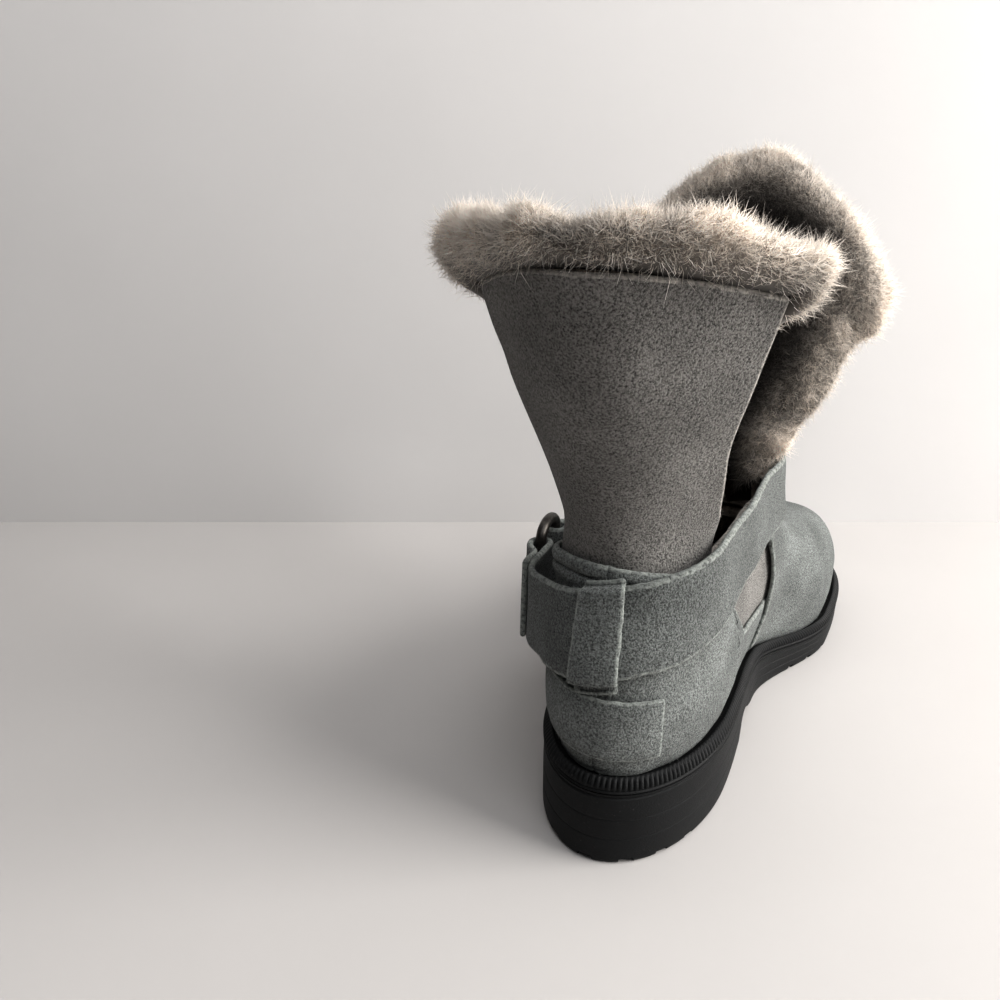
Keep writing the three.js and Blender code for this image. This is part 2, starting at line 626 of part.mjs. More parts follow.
// The ring: a wire bent to an oval with straight bars.
function makeRing() {
  const endHeight = (RING.height - RING.wire - RING.straight) / 2;
  const track = [];
  for (const way of [1, -1]) {
    for (let i = 0; i < 4; i++) track.push([way * BAR, way * RING.straight * (i / 4 - 0.5)]);
    for (let i = 0; i < 10; i++) {
      const angle = (Math.PI * i) / 10;
      track.push([way * BAR * Math.cos(angle), way * (RING.straight / 2 + endHeight * Math.sin(angle))]);
    }
  }
  const { centre, along, up, out } = RING_FRAME;
  const loops = track.map(([a, u], i) => {
    const before = track.at(i - 1);
    const after = track[(i + 1) % track.length];
    const ahead = new THREE.Vector2(after[0] - before[0], after[1] - before[1]).normalize();
    const side = along.clone().multiplyScalar(-ahead.y).addScaledVector(up, ahead.x);
    const middle = centre.clone().addScaledVector(along, a).addScaledVector(up, u);
    middle.addScaledVector(out, RING_OFF);
    return Array.from({ length: 8 }, (_, k) => {
      const angle = (Math.PI * (k + 0.5)) / 4;
      const offset = side.clone().multiplyScalar(Math.cos(angle)).addScaledVector(out, Math.sin(angle));
      return middle.clone().addScaledVector(offset, RING.wire / 2);
    });
  });
  return loftSolid(loops, true);
}

// A domed rivet cap on the strap's outer layer.
function makeRivet(distance, up) {
  const base = LAP_OFF + STRAP.thick / 2 + GAP;
  const centre = onBand(distance, up, base);
  const out = onBand(distance, up, base + 3).sub(centre).normalize();
  const { radius, rise } = RIVET;
  const profile = [[0, 0], [radius, 0], [radius, 0.4], [radius * 0.75, rise * 0.85], [0, rise]];
  const geometry = new THREE.LatheGeometry(profile.map(([x, y]) => new THREE.Vector2(x, y)), 12);
  geometry.applyQuaternion(new THREE.Quaternion().setFromUnitVectors(new THREE.Vector3(0, 1, 0), out));
  geometry.translate(centre.x, centre.y, centre.z);
  return solidOf(geometry);
}

// ---------------------------------------------------------------- materials and assembly

function material(color, roughness, metalness = 0) {
  return new THREE.MeshStandardMaterial({ color, roughness, metalness });
}

const footSuede = material(0x5f6461, 0.95);
const shaftSkin = material(0x625d58, 0.95);
const rubber = material(0x17181a, 0.7);
const footbed = material(0x8d867e, 0.98);
const pewter = material(0x3a3835, 0.45, 0.9);

const boot = new THREE.Group();
boot.name = "sheepskin_boot";
boot.position.y = -HEEL_CENTRE_Y;

function addPiece(name, solid, finish) {
  const mesh = new THREE.Mesh(geometryOf(solid), finish);
  mesh.name = name;
  boot.add(mesh);
}

addPiece("outsole", makeOutsole(), rubber);
addPiece("welt", makeWelt(), rubber);
addPiece("insole", makeInsole(), footbed);
addPiece("upper", makeUpper(), footSuede);
addPiece("shaft", makeShaft(), shaftSkin);
addPiece("strap", makeStrap(), footSuede);
addPiece("loop_heel", makeLoop(0), footSuede);
addPiece("loop_instep", makeLoop(BAND[BAND_STEPS / 2]), footSuede);
addPiece("ring", makeRing(), pewter);
addPiece("rivet_upper", makeRivet(RING_AT - BAR - 15, 7.5), pewter);
addPiece("rivet_lower", makeRivet(RING_AT - BAR - 15, -7.5), pewter);

export default boot;
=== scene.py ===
from functools import partial

import bpy
import numpy as np
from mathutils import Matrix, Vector


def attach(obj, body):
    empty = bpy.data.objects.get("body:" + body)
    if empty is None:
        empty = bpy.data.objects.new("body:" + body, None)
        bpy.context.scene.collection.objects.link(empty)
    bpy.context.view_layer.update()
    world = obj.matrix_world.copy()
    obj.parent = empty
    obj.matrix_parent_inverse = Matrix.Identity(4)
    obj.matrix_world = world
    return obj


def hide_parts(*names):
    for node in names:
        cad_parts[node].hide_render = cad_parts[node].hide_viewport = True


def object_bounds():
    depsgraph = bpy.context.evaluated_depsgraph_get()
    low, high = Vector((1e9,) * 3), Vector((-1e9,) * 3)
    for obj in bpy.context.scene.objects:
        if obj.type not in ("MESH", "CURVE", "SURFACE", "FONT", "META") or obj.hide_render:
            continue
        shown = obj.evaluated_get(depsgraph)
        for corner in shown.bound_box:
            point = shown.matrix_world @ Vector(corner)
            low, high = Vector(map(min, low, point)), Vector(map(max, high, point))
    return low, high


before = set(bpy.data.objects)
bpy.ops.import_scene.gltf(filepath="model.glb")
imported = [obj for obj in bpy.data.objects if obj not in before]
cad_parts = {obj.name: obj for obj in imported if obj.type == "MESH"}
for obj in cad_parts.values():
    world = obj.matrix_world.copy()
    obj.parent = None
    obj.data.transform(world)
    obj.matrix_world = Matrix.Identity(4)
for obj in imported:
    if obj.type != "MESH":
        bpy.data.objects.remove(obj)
CAD_BOX = [list(corner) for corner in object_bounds()]

# Left short boot in suede and double-face sheepskin: the finish of every surface around its packed solids.
# Lengths in the shape functions are millimetres in the last's own frame: x from lateral (-) to medial (+),
# y = 0 at the back of the heel and growing towards the toe, z up. build() turns them into the frame's
# metres.

bl_info = {
    "name": "Sheepskin boot",
    "version": (1, 0, 0),
    "blender": (4, 5, 0),
    "location": "View3D > Sidebar > Boot",
    "description": "Suede, sheepskin, wool, rubber and metal of a short left boot, built around its solids",
    "category": "Add Mesh",
}

# ---------------------------------------------------------------- fixed sizes of the construction, in mm

SOLE_LENGTH = 276.0
HEEL_CENTRE_Y = 38.0
HEEL_SEAT_Z = 33.0
BALL_SEAT_Z = 16.0
TOE_RISE = 2.5
TOE_SPRING = 8.5
LINING_DEPTH = 7.5
TUBE_TOP_Z = 99.5
STRAP_WIDTH = 29.0
STRAP_STAND = 1.5
LOOP_WIDTH = 12.0
LOOP_ABOVE = 17.4
LOOP_BELOW = 20.0
RING_HEIGHT = 47.0
RING_WIDTH = 23.0
RING_WIRE = 4.2
RING_STRAIGHT = 32.0
RING_SLACK = 8.0
GAP = 0.3
TIP_X = 3.0

FOOT_COLUMNS = "backY backZ frontY frontZ heelM heelL midM midL ballM ballL".split()
FOOT_ROWS = np.array([
    (3.0, 33, 270.5, 18.5, 29, 29, 25, 36, 45.5, 52),
    (1.0, 42, 271.5, 28, 31, 31, 27.5, 39, 46.5, 53),
    (0.5, 53, 266, 41, 31.5, 32, 29.5, 41, 45, 52.5),
    (1.5, 66, 253, 52, 31, 31.5, 30.5, 41, 40, 48.5),
    (3.0, 79, 231, 60, 29.5, 31, 30, 39.5, 34.5, 44),
    (5.0, 90, 199, 67.5, 28, 30, 29, 37, 30, 40),
    (6.0, 98, 161, 80, 27, 29, 28, 35, 27.5, 37),
    (6.5, 104, 147, 101, 26, 28.5, 27.5, 34, 26, 35.5),
    (6.5, 110, 140.5, 127.5, 25.5, 28, 27, 33, 25, 33.5),
    (4.5, 125, 139.5, 143, 26, 28.5, 27.5, 33, 26, 33.5),
])
FOOT = dict(zip(FOOT_COLUMNS, FOOT_ROWS.T))
TOP_LEVEL = len(FOOT_ROWS) - 2
LAST_LEVEL = len(FOOT_ROWS) - 1
HEEL_STATION, MID_STATION, BALL_STATION = 0.205, 0.45, 0.7
MEDIAL_NOSE, LATERAL_NOSE, ANKLE_NOSE = 2.8, 2.2, 2.9

PANEL_COLUMNS = "zMid zEdge yMid yEdge left right".split()
BACK_ROWS = np.array([
    (84, 84, 8.5, 40, -25.5, 24),
    (108, 106, 9.3, 39, -26.5, 25),
    (126, 125, 6, 29, -29, 27.5),
    (150, 149, -5, 15, -32.5, 31.5),
    (175, 171, -15, 8, -38.5, 38),
    (197, 190, -23, 4, -43.5, 43.5),
], float)
FRONT_ROWS = np.array([
    (88, 84, 147, 121, -24.5, 22),
    (108, 104, 141, 119, -25.5, 20.5),
    (133, 121, 137.5, 122, -31, 24),
    (160, 136, 141, 127, -37, 34),
    (190, 151, 148, 133, -42, 42),
    (220, 167, 157, 138, -44, 44),
], float)
# Each panel's rows and how it is made up. dome rounds its top edge; inwards is 1 where cross(up, across)
# points to the wool; start is how far up the rows the skin begins; centre and side_turn say where on the
# tube it hangs, leave between which heights it comes away from it, and dent how deep its soft fold is. The
# rest is for the wool: how far it leans out past the edges and how much longer it is at the top and at the
# left and right side, how much of that the lower sides have and from what height they have all, how pale
# the middle is and how far in the pale rim goes. How pale the middle is, is partly painted shade: it is kept
# dark, near the colour of the roots, where the wool lies in shade deep inside the front panel.
BACK_PANEL = {
    "rows": dict(zip(PANEL_COLUMNS, BACK_ROWS.T)), "dome": False, "inwards": 1,
    "start": 0.16, "centre": 0.0, "side_turn": 0.165, "leave": (103, 122), "dent": 2.6,
    "fan": 0.8, "top": 0.75, "sides": (1.15, 0.1), "low_side": 0.0, "side_from": 0.82,
    "inner_frost_and_shade": 0.6, "frost": 0.3,
}
FRONT_PANEL = {
    "rows": dict(zip(PANEL_COLUMNS, FRONT_ROWS.T)), "dome": True, "inwards": -1,
    "start": 0.13, "centre": 0.5, "side_turn": 0.14, "leave": (106, 132), "dent": 0.0,
    "fan": 0.45, "top": 0.62, "sides": (0.1, 0.1), "low_side": 0.8, "side_from": 0.5,
    # The front panel's inner value near 0 keeps its deep wool dark: painted shade.
    "inner_frost_and_shade": 0.02, "frost": 0.8,
}

# Side views (y, z): the quarter's top edge with the bottom of the slot, what the collar leaves open, and
# where the shaft's tube is tucked in behind the suede.
QUARTER_TOP = np.array([
    (-10, 107.4), (5, 107), (20, 104), (40, 98), (53, 83), (74, 59), (121, 49), (150, 45),
])
COLLAR_OPEN = [
    (74, 59), (121, 49), (125, 62), (118, 80), (114, 103), (126, 107), (134, 112), (138, 119), (139.4, 125),
    (139.4, 240), (-60, 240), (-60, 113), (5, 107), (20, 104), (40, 98), (53, 83),
]
TUCK = [(-30, 51), (60, 47), (112, 41), (142, 46), (152, 66), (160, 120), (160, 240), (-30, 240)]
# The vamp's rear cut edge, from the sole up to the collar: height and how far forward it is.
VAMP_REAR = np.array([(10, 118), (24, 122), (42, 128), (62, 124.5), (80, 118), (103, 114), (110, 114)])

HEM_LEVEL = 0.06  # the suede begins this far above the feather line, counted in rows of the foot's table
WOOL_START = 0.13  # the wool begins this far up a panel, of 1 for all of it

# Creases worked into the suede: both ends on the foot, half width, and depth (minus for a ridge).
CREASES = [
    ((30, 178, 52), (-22, 172, 62), 7.0, 0.9),
    ((34, 196, 44), (-10, 190, 60), 8.0, -0.5),
    ((-40, 170, 40), (-26, 182, 58), 6.0, 0.8),
    ((32, 140, 56), (26, 150, 34), 8.0, 1.0),
    ((36, 156, 50), (38, 160, 28), 7.0, -0.6),
    ((40, 186, 42), (43, 196, 26), 8.0, 0.7),
    ((30, 62, 50), (31, 96, 36), 7.0, 0.8),
    ((-33, 58, 60), (-36, 92, 40), 8.0, 0.9),
    ((24, 20, 70), (30, 44, 62), 6.0, 0.5),
    ((-40, 215, 38), (0, 222, 55), 12.0, 0.6),
]

# ---------------------------------------------------------------- numbers and noise


def lerp(a, b, t):
    return a + (b - a) * t


def smooth(x, low, high):
    t = np.clip((np.asarray(x, float) - low) / (high - low), 0, 1)
    return t * t * (3 - 2 * t)


def unit(vectors):
    return vectors / np.maximum(np.linalg.norm(vectors, axis=-1, keepdims=True), 1e-9)


def column(values, at):
    """A smooth value between the rows of one column of a table; at counts rows, from 0."""
    at = np.asarray(at, float)
    last = len(values) - 1
    i = np.clip(np.floor(at).astype(int), 0, last - 1)
    f = at - i
    before, start, end, after = (values[np.clip(i + k, 0, last)] for k in (-1, 0, 1, 2))
    slope_start, slope_end = (end - before) / 2, (after - start) / 2
    a = 2 * (start - end) + slope_start + slope_end
    b = 3 * (end - start) - 2 * slope_start - slope_end
    return ((a * f + b) * f + slope_start) * f + start


def bisect(below, low, high, rounds=26):
    """Where below() turns from true to false, between two arrays of numbers."""
    low, high = (np.array(a, float) for a in np.broadcast_arrays(low, high))
    for _ in range(rounds):
        mid = (low + high) / 2
        under = below(mid)
        low = np.where(under, mid, low)
        high = np.where(under, high, mid)
    return (low + high) / 2


def noise(points, size, seed=0):
    """Smooth noise from -1 to 1 with one bump about every size millimetres."""
    places = np.asarray(points, float) / size + 500
    cell = np.floor(places).astype(np.int64)
    f = places - cell
    f = f * f * (3 - 2 * f)
    total = np.zeros(places.shape[:-1])
    for corner in np.ndindex(2, 2, 2):
        c = cell + corner
        mixed = (c[..., 0] * 73856093) ^ (c[..., 1] * 19349663) ^ (c[..., 2] * 83492791) ^ (seed * 40503 + 77)
        mixed = ((mixed ^ (mixed >> 13)) * 1274126177) & 0xFFFFFFFF
        value = ((mixed ^ (mixed >> 16)) & 0xFFFF) / 32767.5 - 1
        total += value * np.prod(np.where(corner, f, 1 - f), axis=-1)
    return total


def travelled(path):
    """Distance along a path of points, 0 at its first; or along each column of a grid of points."""
    steps = np.linalg.norm(np.diff(path, axis=0), axis=-1)
    return np.concatenate([np.zeros((1, *steps.shape[1:])), np.cumsum(steps, 0)])


def along_path(values, run, at):
    """The values of a path's points, read at distances along it."""
    return np.stack([np.interp(at, run, values[:, k]) for k in range(3)], -1)


def inside_outline(outline, y, z):
    """Whether side view points lie in a closed outline."""
    within = np.zeros(np.shape(y), bool)
    for (y0, z0), (y1, z1) in zip(outline, outline[1:] + outline[:1]):
        if z0 != z1:
            crossing = (y1 - y0) * (z - z0) / (z1 - z0) + y0
            within ^= ((z0 > z) != (z1 > z)) & (y < crossing)
    return within


# ---------------------------------------------------------------- the last


def feather_z(y):
    """Height of the feather line, where the upper meets the sole."""
    toe = np.maximum(0, (y - 195) / (SOLE_LENGTH - 195))
    return lerp(HEEL_SEAT_Z, BALL_SEAT_Z, smooth(y, 62, 178)) + TOE_RISE * toe * toe


def half_width(t, heel, mid, ball, nose):
    """Half width of a shoe outline at t, from 0 at the back to 1 at the front."""
    at_heel = heel * np.sqrt(np.maximum(0, 1 - (1 - np.minimum(t / HEEL_STATION, 1)) ** 2))
    waist = lerp(heel, mid, smooth(t, HEEL_STATION, MID_STATION))
    fore = lerp(mid, ball, smooth(t, MID_STATION, BALL_STATION))
    n = np.clip((t - BALL_STATION) / (1 - BALL_STATION), 0, 1)
    toe = ball * np.maximum(0, 1 - n**nose) ** (1 / nose)
    sections = [t < HEEL_STATION, t < MID_STATION, t < BALL_STATION]
    return np.select(sections, [at_heel, waist, fore], toe)


def foot_point(level, turn):
    """The foot's surface. level counts the table's rows; turn is 0 at the heel, 0.25 medial, 0.5 in front."""
    level, turn = np.broadcast_arrays(np.asarray(level, float), np.asarray(turn, float))
    at = {name: column(values, level) for name, values in FOOT.items()}
    phi = 2 * np.pi * (turn - np.floor(turn))
    t = (1 - np.cos(phi)) / 2
    medial = phi <= np.pi
    nose = lerp(np.where(medial, MEDIAL_NOSE, LATERAL_NOSE), ANKLE_NOSE, smooth(level, 3, 6))
    widths = [np.where(medial, at[name + "M"], at[name + "L"]) for name in ("heel", "mid", "ball")]
    width = half_width(t, *widths, nose)
    y = lerp(at["backY"], at["frontY"], t)
    sag = (1 - smooth(level, 0, 3.5)) * (feather_z(y) - lerp(FOOT["backZ"][0], FOOT["frontZ"][0], t))
    x = np.where(medial, width, -width) + TIP_X * smooth(t, 0.5, 1)
    return np.stack([x, y, lerp(at["backZ"], at["frontZ"], t) + sag], -1)


def foot_normal(level, turn):
    along_turn = foot_point(level, turn + 0.004) - foot_point(level, turn - 0.004)
    above, below = np.minimum(level + 0.05, LAST_LEVEL), np.maximum(level - 0.05, 0)
    return unit(np.cross(along_turn, foot_point(above, turn) - foot_point(below, turn)))


def off_foot(level, turn, off):
    """A point off the foot's surface, outwards."""
    level, turn = np.broadcast_arrays(np.asarray(level, float), np.asarray(turn, float))
    return foot_point(level, turn) + foot_normal(level, turn) * np.asarray(off)[..., None]


def level_at(turn, z):
    return bisect(lambda level: foot_point(level, turn)[..., 2] < z, 0 * turn + 0 * z, LAST_LEVEL)


def first_level(turns, outline):
    """For each line up the foot, the lowest level that lies in a side view outline."""
    levels = np.linspace(0, TOP_LEVEL, 641)
    points = foot_point(levels[:, None], turns[None, :])
    within = inside_outline(outline, points[..., 1], points[..., 2])
    found = levels[np.argmax(within, axis=0)]
    return np.where(within.any(axis=0), found, TOP_LEVEL)


def creased(points, normals):
    """Points moved along their normals by the creases that lie near them."""
    depth = np.zeros(points.shape[:-1])
    for start, end, width, deep in CREASES:
        start, end = np.array(start, float), np.array(end, float)
        share = np.clip(((points - start) @ (end - start)) / ((end - start) @ (end - start)), 0, 1)
        away = np.linalg.norm(points - (start + share[..., None] * (end - start)), axis=-1)
        depth += deep * np.exp(-((away / width) ** 2)) * np.sin(np.pi * np.clip(share, 0.12, 0.88))
    return points - normals * depth[..., None]


# ---------------------------------------------------------------- meshes from grids of points


def grid_faces(rows, columns, closed=False):
    """Quads of a grid whose points are numbered row by row; closed joins the last column to the first."""
    r = np.arange(rows - 1)[:, None]
    c = np.arange(columns if closed else columns - 1)[None, :]
    d = (c + 1) % columns
    corners = [r * columns + c, r * columns + d, (r + 1) * columns + d, (r + 1) * columns + c]
    return np.stack(corners, -1).reshape(-1, 4)


def grid_normals(grid, closed=False):
    """Unit normals of a grid, on the side of cross(along a row, up the rows)."""
    if closed:
        along = np.roll(grid, -1, axis=1) - np.roll(grid, 1, axis=1)
    else:
        along = np.gradient(grid, axis=1)
    return unit(np.cross(along, np.gradient(grid, axis=0)))


def part(points, faces, **values):
    """A piece of mesh: points, a list of face arrays, and one number per point for each named attribute."""
    points = np.asarray(points, float).reshape(-1, 3)
    values = {name: np.broadcast_to(value, len(points)) for name, value in values.items()}
    return {"points": points, "faces": faces if isinstance(faces, list) else [faces], "values": values}


def join(*parts):
    """Several parts as one; an attribute that a part lacks is 0 on it."""
    faces, count = [], 0
    for p in parts:
        faces += [f + count for f in p["faces"]]
        count += len(p["points"])
    values = {
        name: np.concatenate([p["values"].get(name, np.zeros(len(p["points"]))) for p in parts])
        for name in sorted({name for p in parts for name in p["values"]})
    }
    return part(np.concatenate([p["points"] for p in parts]), faces, **values)


def border_distance(grid, closed):
    """How far each point of a grid is from the grid's free edges, measured along its rows and columns."""
    up = travelled(grid)
    nearest = np.minimum(up, up[-1:] - up)
    if closed:
        return nearest
    across = travelled(grid.swapaxes(0, 1)).T
    return np.minimum(nearest, np.minimum(across, across[:, -1:] - across))


def border_loops(rows, columns, closed):
    """The free edges of a grid as point numbers, each run with the sheet on its left."""
    index = np.arange(rows * columns).reshape(rows, columns)
    if closed:
        return [index[0], index[-1][::-1]]
    return [np.concatenate([index[0], index[1:, -1], index[-1, -2::-1], index[-2:0:-1, 0]])]


def leather(middle, thick, closed=False, edge_width=1.0):
    """A sheet with rounded cut edges around a grid on its middle; its face looks along the grid's normals."""
    rows, columns = middle.shape[:2]
    normals = grid_normals(middle, closed)
    half = thick / 2
    edge = np.clip(1 - border_distance(middle, closed) / edge_width, 0, 1)
    count = rows * columns
    faces = grid_faces(rows, columns, closed)
    points = [(middle + normals * half).reshape(-1, 3), (middle - normals * half).reshape(-1, 3)]
    values = [edge.ravel(), edge.ravel()]
    all_faces = [faces, faces[:, ::-1] + count]
    used = 2 * count
    flat, flat_normals = middle.reshape(-1, 3), normals.reshape(-1, 3)
    borders = []
    for loop in border_loops(rows, columns, closed):
        tangent = unit(flat[np.roll(loop, -1)] - flat[np.roll(loop, 1)])
        outward = unit(np.cross(tangent, flat_normals[loop]))
        rings = [loop]
        for angle in (np.pi / 4, np.pi / 2, 3 * np.pi / 4):
            points.append(flat[loop] + half * (np.sin(angle) * outward + np.cos(angle) * flat_normals[loop]))
            values.append(np.ones(len(loop)))
            rings.append(used + np.arange(len(loop)))
            used += len(loop)
        rings.append(loop + count)
        for one, other in zip(rings, rings[1:]):
            all_faces.append(np.stack([one, other, np.roll(other, -1), np.roll(one, -1)], -1))
        borders.append((flat[loop], outward, flat_normals[loop]))
    made = part(np.concatenate(points), all_faces, edge=np.concatenate(values))
    made["borders"] = borders
    return made


def block(rings):
    """A solid through rings of equal length; the first and last are each closed by a strip of quads."""
    rings = np.asarray(rings, float)
    count, across = rings.shape[:2]
    faces = [grid_faces(count, across, True)]
    for at, flip in ((0, False), ((count - 1) * across, True)):
        j = np.arange(across // 2 - 1)
        strip = np.stack([at + j, at + across - 1 - j, at + across - 2 - j, at + j + 1], -1)
        faces.append(strip if flip else strip[:, ::-1])
    return part(rings.reshape(-1, 3), faces)


def tube_along(path, radius, sides, closed=False, up=(0, 0, 1)):
    """A round wire along a path; radius may change from point to point."""
    path = np.asarray(path, float)
    ahead = np.roll(path, -1, axis=0) - np.roll(path, 1, axis=0) if closed else np.gradient(path, axis=0)
    side = unit(np.cross(ahead, np.broadcast_to(np.asarray(up, float), path.shape)))
    over = unit(np.cross(side, ahead))
    angles = 2 * np.pi * np.arange(sides) / sides
    radius = np.broadcast_to(radius, len(path))[:, None, None]
    ring = np.cos(angles)[None, :, None] * side[:, None] + np.sin(angles)[None, :, None] * over[:, None]
    points = path[:, None] + radius * ring
    faces = grid_faces(len(path) + 1, sides, True)
    if closed:
        return part(points, faces % (len(path) * sides))
    faces = faces[: (len(path) - 1) * sides]
    ends = [np.arange(sides)[None, ::-1], (len(path) - 1) * sides + np.arange(sides)[None, :]]
    return part(points, [faces] + ends)


def stitches(path, normals, length=2.6, gap=0.9, radius=0.32):
    """A row of thread stitches on a surface: each dives into the leather at both ends."""
    run = travelled(path)
    count = max(1, int(run[-1] // (length + gap)))
    pitch = run[-1] / count
    made = []
    shape = np.array([(-0.5, -0.9), (-0.38, 0.1), (-0.15, 0.7), (0.15, 0.7), (0.38, 0.1), (0.5, -0.9)])
    for i in range(count):
        at = (i + 0.5) * pitch + shape[:, 0] * (pitch - gap)
        centre = along_path(path, run, at)
        out = unit(along_path(normals, run, at))
        made.append(tube_along(centre + out * (radius * shape[:, 1:]), radius, 6, up=out.mean(0)))
    return join(*made)


def build(name, shape, material, nodes, normals=None, angle=60):
    """Makes an object from a part, in the frame's metres; it rides on root and replaces solids by name."""
    mesh = bpy.data.meshes.new(name)
    points = (shape["points"] - (0, HEEL_CENTRE_Y, 0)) * 0.001
    faces = shape["faces"]
    corners = np.concatenate([f.ravel() for f in faces])
    sizes = np.concatenate([np.full(len(f), f.shape[1]) for f in faces])
    mesh.vertices.add(len(points))
    mesh.vertices.foreach_set("co", points.astype(np.float32).ravel())
    mesh.loops.add(len(corners))
    mesh.loops.foreach_set("vertex_index", corners.astype(np.int32))
    mesh.polygons.add(len(sizes))
    mesh.polygons.foreach_set("loop_start", (np.cumsum(sizes) - sizes).astype(np.int32))
    mesh.update(calc_edges=True)
    for key, values in shape["values"].items():
        mesh.attributes.new(key, "FLOAT", "POINT").data.foreach_set("value", np.asarray(values, np.float32))
    if mesh.validate():
        raise RuntimeError(f"{name} has broken faces")
    piece = bpy.data.objects.new(name, mesh)
    bpy.context.scene.collection.objects.link(piece)
    mesh.materials.append(material)
    if angle < 180:
        mesh.set_sharp_from_angle(angle=np.radians(angle))
    else:
        mesh.shade_smooth()
    if normals is not None:
        mesh.normals_split_custom_set_from_vertices(normals.tolist())
    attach(piece, "root")
    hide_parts(*nodes)
    return piece


# ---------------------------------------------------------------- fibres


def fibres(
    roots, directions, lengths, bends, width, steps, rng,
    clump=None, gather=0.6, crimp=0.5, frost=0.0, facing=None,
):
    """Flat tapering fibres joined in one part. clump numbers the lock of wool that each one leans into, frost
    is how pale its end gets, and facing is the way that its face looks."""
    count = len(roots)
    t = np.linspace(0, 1, steps + 1)
    sideways, phase = rng.normal(size=directions.shape), rng.uniform(0, 2 * np.pi, count)
    if clump is not None:
        _, lock = np.unique(clump, return_inverse=True)
        size = np.bincount(lock)
        sideways = 0.55 * sideways + rng.normal(size=(len(size), 3))[lock]
        phase = 0.12 * phase + rng.uniform(0, 2 * np.pi, len(size))[lock]
    one = unit(np.cross(directions, sideways))
    other = unit(np.cross(directions, one))
    length = lengths[:, None, None]
    far = t[None, :, None]
    path = roots[:, None] + length * (directions[:, None] * far + bends[:, None] * far**2)
    wave = np.sin(phase[:, None] + t[None, :] * 6.5) * t[None, :] ** 0.7
    turned = np.cos(phase[:, None] * 1.7 + t[None, :] * 5.0) * t[None, :]
    path = path + crimp * (wave[..., None] * one[:, None] + 0.7 * turned[..., None] * other[:, None])
    lock_tone = np.zeros(count)
    if clump is not None:
        tips = path[:, -1]
        centre = np.stack([np.bincount(lock, tips[:, k]) / size for k in range(3)], -1)
        path = path + gather * (t[None, :, None] ** 1.6) * (centre[lock] - tips)[:, None]
        lock_tone = rng.uniform(-1, 1, len(size))[lock]
    twist = rng.uniform(0, 2 * np.pi, count)
    side = unit(one * np.cos(twist)[:, None] + other * np.sin(twist)[:, None])[:, None]
    if facing is not None:
        inward = np.sum(np.cross(side[:, 0], directions) * facing, -1) < 0
        side = np.where(inward[:, None, None], -side, side)
    half = (width / 2 * (1 - 0.75 * t))[None, :, None]
    left, right = path[:, :-1] - side * half[:, :-1], path[:, :-1] + side * half[:, :-1]
    points = np.concatenate([np.stack([left, right], 2).reshape(count, -1, 3), path[:, -1:]], 1)
    across = points.shape[1]
    base = np.arange(count)[:, None] * across
    k = np.arange(steps - 1)[None, :] * 2
    quads = np.stack([base + k, base + k + 1, base + k + 3, base + k + 2], -1).reshape(-1, 4)
    last = 2 * (steps - 1)
    tip_faces = (base + np.array([last, last + 1, last + 2])).reshape(-1, 3)
    tips = np.concatenate([np.repeat(t[:-1], 2), [1]])
    own = 0.6 * lock_tone + 0.4 * rng.uniform(-1, 1, count)
    frost = np.broadcast_to(frost, count)
    values = {"tip": np.tile(tips, count), "tone": np.repeat(own, across), "frost": np.repeat(frost, across)}
    return part(points, [quads, tip_faces], **values)


def locks(a, b, size, seed):
    """Numbers the lock of wool at two distances: cells of about size, with wandering borders."""
    flat = np.stack([a, b, 0 * a], -1)
    u = a / size + 0.45 * noise(flat, size * 1.3, seed)
    v = b / size + 0.45 * noise(flat, size * 1.3, seed + 1)
    return np.floor(u).astype(int) * 1000 + np.floor(v + 0.5 * np.floor(u)).astype(int)


def fray(borders, rng, per_mm=4, length=1.1, width=0.16):
    """Short loose fibres along cut edges."""
    made = []
    for points, outward, normals in borders:
        run = travelled(points)
        count = int(run[-1] * per_mm)
        at = np.sort(rng.uniform(0, run[-1], count))
        out, up = unit(along_path(outward, run, at)), unit(along_path(normals, run, at))
        lean = unit(out + 0.75 * rng.normal(size=(count, 3)) + 0.25 * up)
        roots = along_path(points, run, at) + 0.5 * out + up * rng.uniform(-0.5, 0.8, count)[:, None]
        lengths = length * rng.uniform(0.4, 1.25, count)
        bends = 0.35 * rng.normal(size=(count, 3))
        made.append(fibres(roots, lean, lengths, bends, width, 3, rng, crimp=0.1))
    shape = join(*made)
    shape["values"] = {"edge": np.ones(len(shape["points"]))}
    return shape


def frayed(name, sheet, seed, per_mm, length, material, node):
    """Builds a piece of leather with loose fibres along its cut edges."""
    loose = fray(sheet["borders"], np.random.default_rng(seed), per_mm, length)
    build(name, join(sheet, loose), material, [node])


# ---------------------------------------------------------------- materials


def linear(code):
    """An sRGB hex colour as linear red, green, blue and alpha."""
    parts = [int(code[i:i + 2], 16) / 255 for i in (1, 3, 5)]
    return tuple(c / 12.92 if c <= 0.04045 else ((c + 0.055) / 1.055) ** 2.4 for c in parts) + (1.0,)


def shaded(colour, factor):
    return tuple(c * factor for c in colour[:3]) + (1.0,)


def add_node(material, kind, output=None, inputs=None, stops=(), **settings):
    """Adds a node with its settings, colour stops and inputs, values or links, and returns one output."""
    node = material.node_tree.nodes.new(kind)
    for name, value in settings.items():
        setattr(node, name, value)
    for name, value in (inputs or {}).items():
        if isinstance(value, bpy.types.NodeSocket):
            material.node_tree.links.new(value, node.inputs[name])
        else:
            node.inputs[name].default_value = value
    for _ in stops[2:]:
        node.color_ramp.elements.new(0.5)
    for i, (place, colour) in enumerate(stops):
        node.color_ramp.elements[i].position = place
        node.color_ramp.elements[i].color = colour
    return node.outputs[output] if output else None


def new_material(name):
    """The material of this name and what adds nodes to it, which is None when it has them already."""
    material = bpy.data.materials.get(name)
    if material is not None:
        return material, None
    material = bpy.data.materials.new(name)
    material.use_nodes = True
    material.node_tree.nodes.clear()
    return material, partial(add_node, material)


